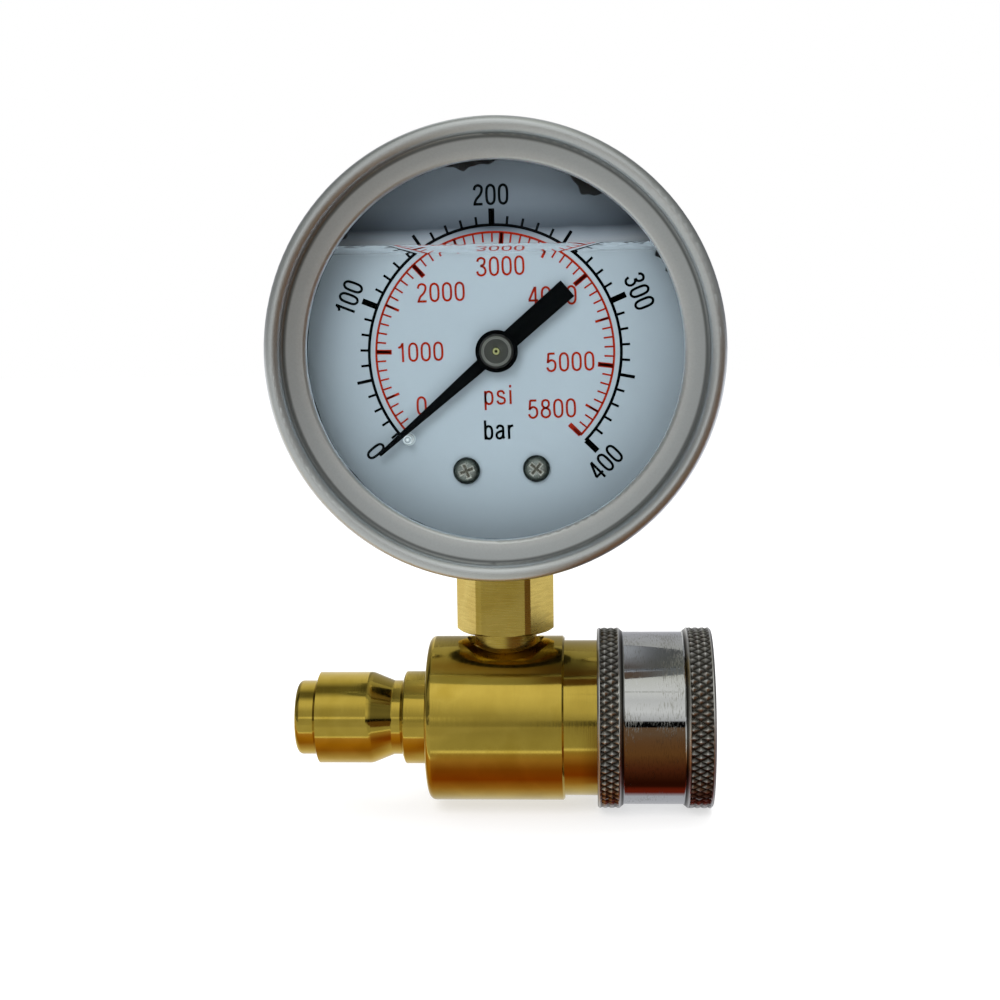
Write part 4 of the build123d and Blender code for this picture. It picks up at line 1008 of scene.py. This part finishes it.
def screw_group():
    """Round heads with a lobed cross recess, set on given points of the dial."""
    tree, given, keys = node_group(
        "cross recess screws", "Spacing", "Head radius", "Head height", "Recess depth", "Arm length",
        "Arm width", "Turn",
    )
    grid = add(
        tree, "GeometryNodeMeshGrid", {"Size X": 1.0, "Size Y": 1.0, "Vertices X": 61, "Vertices Y": 129}
    )
    parts = add(tree, "SeparateXYZ", [add(tree, "GeometryNodeInputPosition")]).outputs
    known = {**given, "across": parts[0], "up": parts[1], "index": add(tree, "GeometryNodeInputIndex")}
    steps = [
        ("out", "ADD", "across", 0.5),
        ("share of turn", "ADD", "up", 0.5),
        ("angle", "MULTIPLY", "share of turn", math.tau),
        ("over edge", "DIVIDE", "out", 0.85),
        ("share", "MINIMUM", "over edge", 1.0),
        ("reach", "MULTIPLY", "share", "Head radius"),
        ("cosine", "COSINE", "angle"),
        ("sine", "SINE", "angle"),
        ("x", "MULTIPLY", "reach", "cosine"),
        ("y", "MULTIPLY", "reach", "sine"),
        ("cubed", "POWER", "share", 3.0),
        ("drop", "MULTIPLY", "cubed", 0.82),
        ("left", "SUBTRACT", 1.0, "drop"),
        ("dome", "SQRT", "left"),
    ]
    for one, other in ("xy", "yx"):
        steps += [
            ("off middle", "ABSOLUTE", one),
            ("narrow", "SUBTRACT", "Arm width", "off middle"),
            ("off centre", "ABSOLUTE", other),
            ("short", "SUBTRACT", "Arm length", "off centre"),
            ("inward", "MINIMUM", "narrow", "short"),
            ("sloped", "DIVIDE", "inward", 0.3 * MM),
            ("capped", "MINIMUM", "sloped", 1.0),
            ("arm " + one, "MAXIMUM", "capped", 0.0),
        ]
    steps += [
        ("recess", "MAXIMUM", "arm x", "arm y"),
        ("sunk", "MULTIPLY", "recess", "Recess depth"),
        ("full", "MULTIPLY", "dome", "Head height"),
        ("top", "SUBTRACT", "full", "sunk"),
        ("inside", "SUBTRACT", 1.0, "out"),
        ("wall", "DIVIDE", "inside", 0.15),
        ("raised wall", "MAXIMUM", "wall", 0.0),
        ("side", "MINIMUM", "raised wall", 1.0),
        ("height", "MULTIPLY", "top", "side"),
        ("half back", "MULTIPLY", "Spacing", -0.5),
        ("head turn", "MULTIPLY_ADD", "index", 0.5, "Turn"),
    ]
    for result, operation, *terms in steps:
        known[result] = add(tree, "Math", [known.get(term, term) for term in terms], operation=operation)
    spot = add(tree, "CombineXYZ", [known["x"], known["y"], known["height"]])
    kept = add(
        tree,
        "GeometryNodeStoreNamedAttribute",
        {"Geometry": grid, "Name": "reach", "Value": known["share"]},
    )
    kept = add(
        tree,
        "GeometryNodeStoreNamedAttribute",
        {"Geometry": kept, "Name": "recess", "Value": known["recess"]},
    )
    head = add(tree, "GeometryNodeSetPosition", {"Geometry": kept, "Position": spot})
    sewn = add(tree, "GeometryNodeMergeByDistance", {"Geometry": head, "Distance": 0.002 * MM})
    start = add(tree, "CombineXYZ", [known["half back"]])
    apart = add(tree, "CombineXYZ", [given["Spacing"]])
    row = add(tree, "GeometryNodeMeshLine", {"Count": 2, "Start Location": start, "Offset": apart})
    turned = add(tree, "CombineXYZ", {2: known["head turn"]})
    laid = add(
        tree,
        "GeometryNodeInstanceOnPoints",
        {"Points": row, "Instance": sewn, "Rotation": turned},
    )
    close_group(tree, laid, given["Material"])
    return tree, keys


def zinc_plate():
    """Zinc plated steel of the dial screws, with a painted highlight on the recess walls, painted shade
    deep in the recess, and a dark rim of painted shade round each head.
    """
    material, tree, place = new_material("zinc plate")
    reach = add(tree, "Attribute", attribute_name="reach").outputs["Fac"]
    grime = add(tree, "TexNoise", {"Vector": place, "Scale": 2.5, "Detail": 3})
    wander = add(tree, "Math", [grime, 0.16, reach], operation="MULTIPLY_ADD")
    # Painted shade: each head darkens towards its edge and side
    colour = add(
        tree,
        "ValToRGB",
        {"Fac": wander},
        stops=[(0.0, "#A4A6A2"), (0.62, "#8C908C"), (0.8, "#5C625E"), (0.95, "#2C3432")],
    )
    recess = add(tree, "Attribute", attribute_name="recess").outputs["Fac"]
    # Painted highlight on the walls of the cross recess, and painted shade at its bottom
    walls = add(
        tree,
        "ValToRGB",
        {"Fac": recess},
        stops=[(0.0, "#8C908C"), (0.25, "#F6F6F2"), (0.6, "#D8D6CE"), (0.95, "#6A675E")],
    )
    sunk = add(tree, "MapRange", {"Value": recess, "From Max": 0.1})
    colour = add(tree, "Mix", {0: sunk, 6: colour, 7: walls}, data_type="RGBA")
    matt = add(tree, "MapRange", {"Value": grime, "To Min": 0.15, "To Max": 0.35})
    shader = add(
        tree,
        "BsdfPrincipled",
        {"Base Color": colour.outputs[2], "Metallic": 0.6, "Roughness": matt},
    )
    return finish_material(material, shader)


zinc = zinc_plate()
screw_mesh = run_group(
    screw_group(),
    bpy.data.meshes.new("screw blank"),
    Spacing=10.66 * MM,
    Head_radius=2.05 * MM,
    Head_height=1.2 * MM,
    Recess_depth=0.55 * MM,
    Arm_length=1.25 * MM,
    Arm_width=0.42 * MM,
    Turn=0.35,
    Material=zinc,
)
screw_place = DIAL @ Matrix.Translation((0, -18.0, DIAL_FRONT))
screw_mesh.transform(Matrix.Scale(MM, 4) @ screw_place @ Matrix.Scale(1 / MM, 4))
piece("dial_screw_heads", screw_mesh, zinc, "gauge", ["dial_screws"], 40)
piece("pointer_hand", pointer_mesh(), pointer_enamel, "pointer", ["pointer"])


# Materials of the CAD nodes

PIN_PLACE = [(low + high) / 2 / MM for low, high in zip(*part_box("stop_pin"))]
# Steel pin that stands in a drop of trapped air: the white rings round it are painted highlights, with
# painted shade in grey rings between them
pin_painted_glints = ringed(
    "steel with painted glints", (PIN_PLACE[0], PIN_PLACE[2]), 1.1,
    [(0.0, "#F4F6F8"), (0.25, "#9AA2AA"), (0.42, "#6E767E"), (0.5, "#E6ECF2"), (0.62, "#F8FAFC"),
     (0.72, "#8E969E"), (0.85, "#DCE4EA"), (1.0, "#98A2AC")],
    0.0, 0.3,
)
# A thin ring at the pin's foot that carries the same painted highlights and painted shade
ring_place = (PIN_PLACE[0] - STEM_X, PIN_PLACE[2] - GAUGE_Z, DIAL_FRONT + 0.02)
ring_profile = [(0, 0.5), (0.12, 0.56), (0.1, 0.92), (0, 1.02)]
pin_ring = turned_mesh("pin ring", ring_profile, GAUGE @ Matrix.Translation(ring_place), 64)
piece("stop_pin_ring", pin_ring, pin_painted_glints, "gauge", (), 30)

GASKET_INNER = 28.25
# Where the rubber is squeezed out: angle in degrees, spread in degrees and size
GASKET_BULGES = [
    (98.5, 4.2, 1.5), (92.0, 2.0, 0.9), (61.0, 3.6, 1.9), (57.5, 2.0, 1.2), (30.0, 1.6, 0.9),
    (142.0, 1.2, 0.8), (24.5, 0.8, 0.7),
]


def gasket_mesh():
    """Rubber ring under the window, squeezed out past the lip here and there."""
    low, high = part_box("lens_gasket")
    outer = (high[0] - low[0]) / 2 / MM
    back, front = -high[1] / MM, -low[1] / MM
    steps = 720
    mesh = bmesh.new()
    rings = []
    for step in range(steps):
        turn = 360 * step / steps
        bulge = 0.12 * math.sin(math.radians(turn * 7)) * math.sin(math.radians(turn * 23 + 40))
        ragged = 0.85 + 0.15 * math.sin(math.radians(turn * 73))
        for middle, spread, size in GASKET_BULGES:
            bulge += size * math.exp(-(((turn - middle) / spread) ** 2)) * ragged
        inner = GASKET_INNER - bulge
        way = polar(math.radians(turn), 1)
        profile = [
            (inner + 0.15, back), (outer, back), (outer, front), (outer - 0.5, front),
            (outer - 0.5, LENS_BACK), (inner + 0.15, LENS_BACK), (inner, (back + LENS_BACK) / 2),
        ]
        rings.append([mesh.verts.new(way * reach + Vector((0, 0, height))) for reach, height in profile])
    for one, other in zip(rings, rings[1:] + rings[:1]):
        for n in range(len(one)):
            m = (n + 1) % len(one)
            mesh.faces.new((one[n], one[m], other[m], other[n]))
    bmesh.ops.recalc_face_normals(mesh, faces=mesh.faces)
    return finished_mesh("gasket blank", mesh, GAUGE)


piece("window_gasket", gasket_mesh(), rubber, "gauge", ["lens_gasket"], 40)

for material, nodes in (
    (turned_brass, ["tee_body"]),
    (milled_brass, ["stem_block"]),
    (
        movement_brass,
        [
            "dial_posts", "front_plate", "rear_plate", "pillars", "sector_gear",
            "link_rod", "tube_tip", "hairspring_stud",
        ],
    ),
    (brushed_stainless, ["case"]),
    (rolled_stainless, ["bezel_ring"]),
    (bright_chrome, ["case_screws", "plate_screws", "mounting_screws"]),
    (
        ground_steel,
        ["snap_ring", "sector_arbor", "sector_pin", "tip_pin"]
        + [f"locking_ball_{number}" for number in range(1, 7)],
    ),
    (drawn_bronze, ["hairspring"]),
    (rubber, ["socket_seal", "stem_seal", "filler_plug"]),
    (window_glass, ["lens"]),
    (dial_enamel, ["dial_plate"]),
    (turned_cap, ["pointer_cap"]),
    (arbor_brass, ["pinion_arbor"]),
    (pin_painted_glints, ["stop_pin"]),
):
    for name in nodes:
        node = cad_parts[name]
        node.data.materials.clear()
        node.data.materials.append(material)


# Studio


def side_by_side(tree, across, along, strips, low, high, soft):
    """Colour ramps from low to high along one way, side by side across it with soft edges."""
    share = add(tree, "MapRange", {"Value": along, "From Min": low, "From Max": high})
    whole = None
    for edge, strip in strips:
        stops = [((spot - low) / (high - low), shade) for spot, shade in strip]
        shades = add(tree, "ValToRGB", [share], stops=stops)
        if whole is not None:
            past = add(
                tree, "MapRange", {"Value": across, "From Min": edge - soft, "From Max": edge + soft},
            )
            shades = add(tree, "Mix", {0: past, 6: whole, 7: shades}, data_type="RGBA").outputs[2]
        whole = shades
    return whole


# What the metal sees of the table, by distance behind the flow axis: under the plug, under the
# tee's body and under the sleeve, each from its left edge on
BODY_STRIP = [
    (-87, "#A8A8A0"), (-41, "#B0B0A6"), (-31.6, "#B0B0A6"), (-31, "#FFFFFF"), (-28.8, "#FFFFFF"),
    (-27.8, "#B0A080"), (-22, "#B3906C"), (-16, "#905926"), (-11.6, "#904B0A"), (-8.3, "#B18959"),
    (-4.3, "#D7D4CC"), (60, "#F0F0F0"),
]
PLUG_STRIP = [
    (-87, "#B4B4B0"), (-63, "#C4C4C0"), (-25, "#C0C0B8"), (-24.5, "#FFFFFF"), (-22.6, "#FFFFFF"),
    (-21.8, "#C8A070"), (-13, "#B88830"), (-8, "#A87838"), (-4, "#C0A890"), (2, "#E8E0D0"), (60, "#F4F4F4"),
]
SLEEVE_STRIP = [
    (-100, "#654E38"), (-29, "#65411F"), (-18, "#4C2310"), (-12.7, "#2B0D03"), (-11, "#2B0D03"),
    (-9.8, "#681D0D"), (-8.3, "#681D0D"), (-7.2, "#B2B2B6"), (60, "#E8E8EC"),
]
TABLE = [(0, PLUG_STRIP), (12, BODY_STRIP), (40.5, SLEEVE_STRIP)]


def floor():
    """Plain white floor that keeps the part's shadow, and that metal sees as a dim table."""
    mesh = bpy.data.meshes.new("floor")
    size = 3.0
    height = FLOOR_Z * MM
    mesh.from_pydata(
        [(-size, -size, height), (size, -size, height), (size, size, height), (-size, size, height)],
        [],
        [(0, 1, 2, 3)],
    )
    material, tree, place = new_material("white paper floor")
    parts = add(tree, "SeparateXYZ", [place]).outputs
    table = side_by_side(tree, parts[0], parts[1], TABLE, -100.0, 100.0, 2.5)
    paper = add(tree, "BsdfDiffuse", {"Color": "#FFFFFF"})
    white = add(tree, "Emission", {"Color": "#FFFFFF", "Strength": 1.1})
    mirrored = add(tree, "Emission", {"Color": table})
    ray = add(tree, "LightPath")
    seen = add(tree, "Math", [ray.outputs["Is Camera Ray"], 0.55], operation="MULTIPLY")
    shown = add(tree, "MixShader", [seen, paper, white])
    shader = add(tree, "MixShader", [ray.outputs["Is Glossy Ray"], shown, mirrored])
    mesh.materials.append(finish_material(material, shader))
    placed("floor", mesh)


floor()


# Room by height angle in degrees, 0 level towards the viewer, 90 up and 180 behind: its walls to
# the left, in the middle and to the right, each from its left edge on
LEFT_WALL = [
    (-180, "#FFFFFF"), (-20, "#BCBCB8"), (7.5, "#B4B4B0"), (8.5, "#FFFFFF"), (12.5, "#FFFFFF"),
    (13.5, "#B4B4AE"), (30, "#B8B8B0"), (48, "#E8E8E0"), (62, "#E8E8E0"), (78, "#73736A"),
    (94, "#73736A"), (112, "#D8D8D0"), (128, "#F0F0EE"), (180, "#FFFFFF"),
]
MIDDLE_WALL = [
    (-180, "#FFFFFF"), (-20, "#B0B0A6"), (-12, "#A8A8A0"), (2, "#9A9A92"), (16, "#B8B8B2"), (30, "#E8E8E2"),
    (44, "#FFFFFF"), (60, "#FFFFFF"), (74, "#C6C6C0"), (90, "#898982"), (110, "#6C6C64"), (134, "#8E8E88"),
    (161, "#A0A09A"), (180, "#C4C4C0"),
]
RIGHT_WALL = [
    (-180, "#E8E8EC"), (-5, "#654E38"), (-3.5, "#030303"), (7, "#030303"), (8.5, "#B6B6B4"),
    (20, "#DCDCD8"), (35, "#CCCCC8"), (45, "#DADAD4"), (46, "#8A8A80"), (47.2, "#DADAD4"),
    (63, "#CFCFC6"), (74, "#B4B4A8"), (86, "#A6A698"), (104, "#ABABA4"), (162, "#ACACB0"),
    (180, "#C8C8CC"),
]
ROOM = [(-1, LEFT_WALL), (-0.115, MIDDLE_WALL), (-0.015, RIGHT_WALL)]


def studio_world():
    """White background, even light, and the room that the metal mirrors."""
    world = bpy.data.worlds.new("studio")
    world.use_nodes = True
    tree = world.node_tree
    tree.nodes.clear()
    way = add(tree, "TexCoord").outputs["Generated"]
    parts = add(tree, "SeparateXYZ", [way]).outputs
    forward = add(tree, "Math", [parts[1], -1.0], operation="MULTIPLY")
    angle = add(tree, "Math", [parts[2], forward], operation="ARCTAN2")
    lift = add(tree, "Math", [angle], operation="DEGREES")
    room = side_by_side(tree, parts[0], lift, ROOM, -180.0, 180.0, 0.015)
    across = add(tree, "Math", [parts[0]], operation="ABSOLUTE")
    aside = add(
        tree,
        "MapRange",
        {"Value": across, "From Min": 0.15, "From Max": 0.5, "To Min": 1.0, "To Max": 0.3},
    )
    even = add(tree, "Background", {"Color": "#FFFFFF", "Strength": 1.0})
    seen = add(tree, "Background", {"Color": "#FFFFFF", "Strength": 1.0})
    mirrored = add(tree, "Background", {"Color": room, "Strength": aside})
    ray = add(tree, "LightPath")
    plain = add(
        tree,
        "Math",
        [ray.outputs["Is Camera Ray"], ray.outputs["Is Transmission Ray"]],
        operation="MAXIMUM",
    )
    soft = add(tree, "MixShader", [ray.outputs["Is Glossy Ray"], even, mirrored])
    whole = add(tree, "MixShader", [plain, soft, seen])
    add(tree, "OutputWorld", {"Surface": whole})
    bpy.context.scene.world = world


studio_world()


def lamp(name, place, aim, size, power):
    """Soft rectangular lamp, aimed at a point, in millimetres."""
    data = bpy.data.lights.new(name, "AREA")
    data.shape = "RECTANGLE"
    data.size, data.size_y = size[0] * MM, size[1] * MM
    data.energy = power
    obj = placed(name, data)
    obj.location = Vector(place) * MM
    way = (Vector(aim) - Vector(place)).normalized()
    obj.rotation_mode = "QUATERNION"
    obj.rotation_quaternion = way.to_track_quat("-Z", "Y")
    obj.visible_glossy = False
    return obj


lamp("key", (-130, -520, 400), (26, 0, 40), (360, 360), 2.6)
lamp("top", (60, 60, 520), (26, 0, 40), (300, 300), 1.6)


def photo_camera():
    """Camera a quarter of a metre away, looking slightly down and to the left."""
    data = bpy.data.cameras.new("camera")
    data.lens = 59.14
    data.sensor_width = 36
    data.clip_start = 0.01
    data.clip_end = 20
    obj = placed("camera", data)
    yaw, pitch, roll = (math.radians(angle) for angle in (3.43, -5.73, -0.76))
    way = Vector((-math.sin(yaw) * math.cos(pitch), math.cos(yaw) * math.cos(pitch), math.sin(pitch)))
    level = way.to_track_quat("-Z", "Y").to_matrix().to_4x4()
    obj.matrix_world = (
        Matrix.Translation(Vector((41.17, -262.3, 61.9)) * MM) @ level @ Matrix.Rotation(roll, 4, "Z")
    )
    bpy.context.scene.camera = obj


photo_camera()
bpy.context.scene.view_settings.view_transform = "Standard"
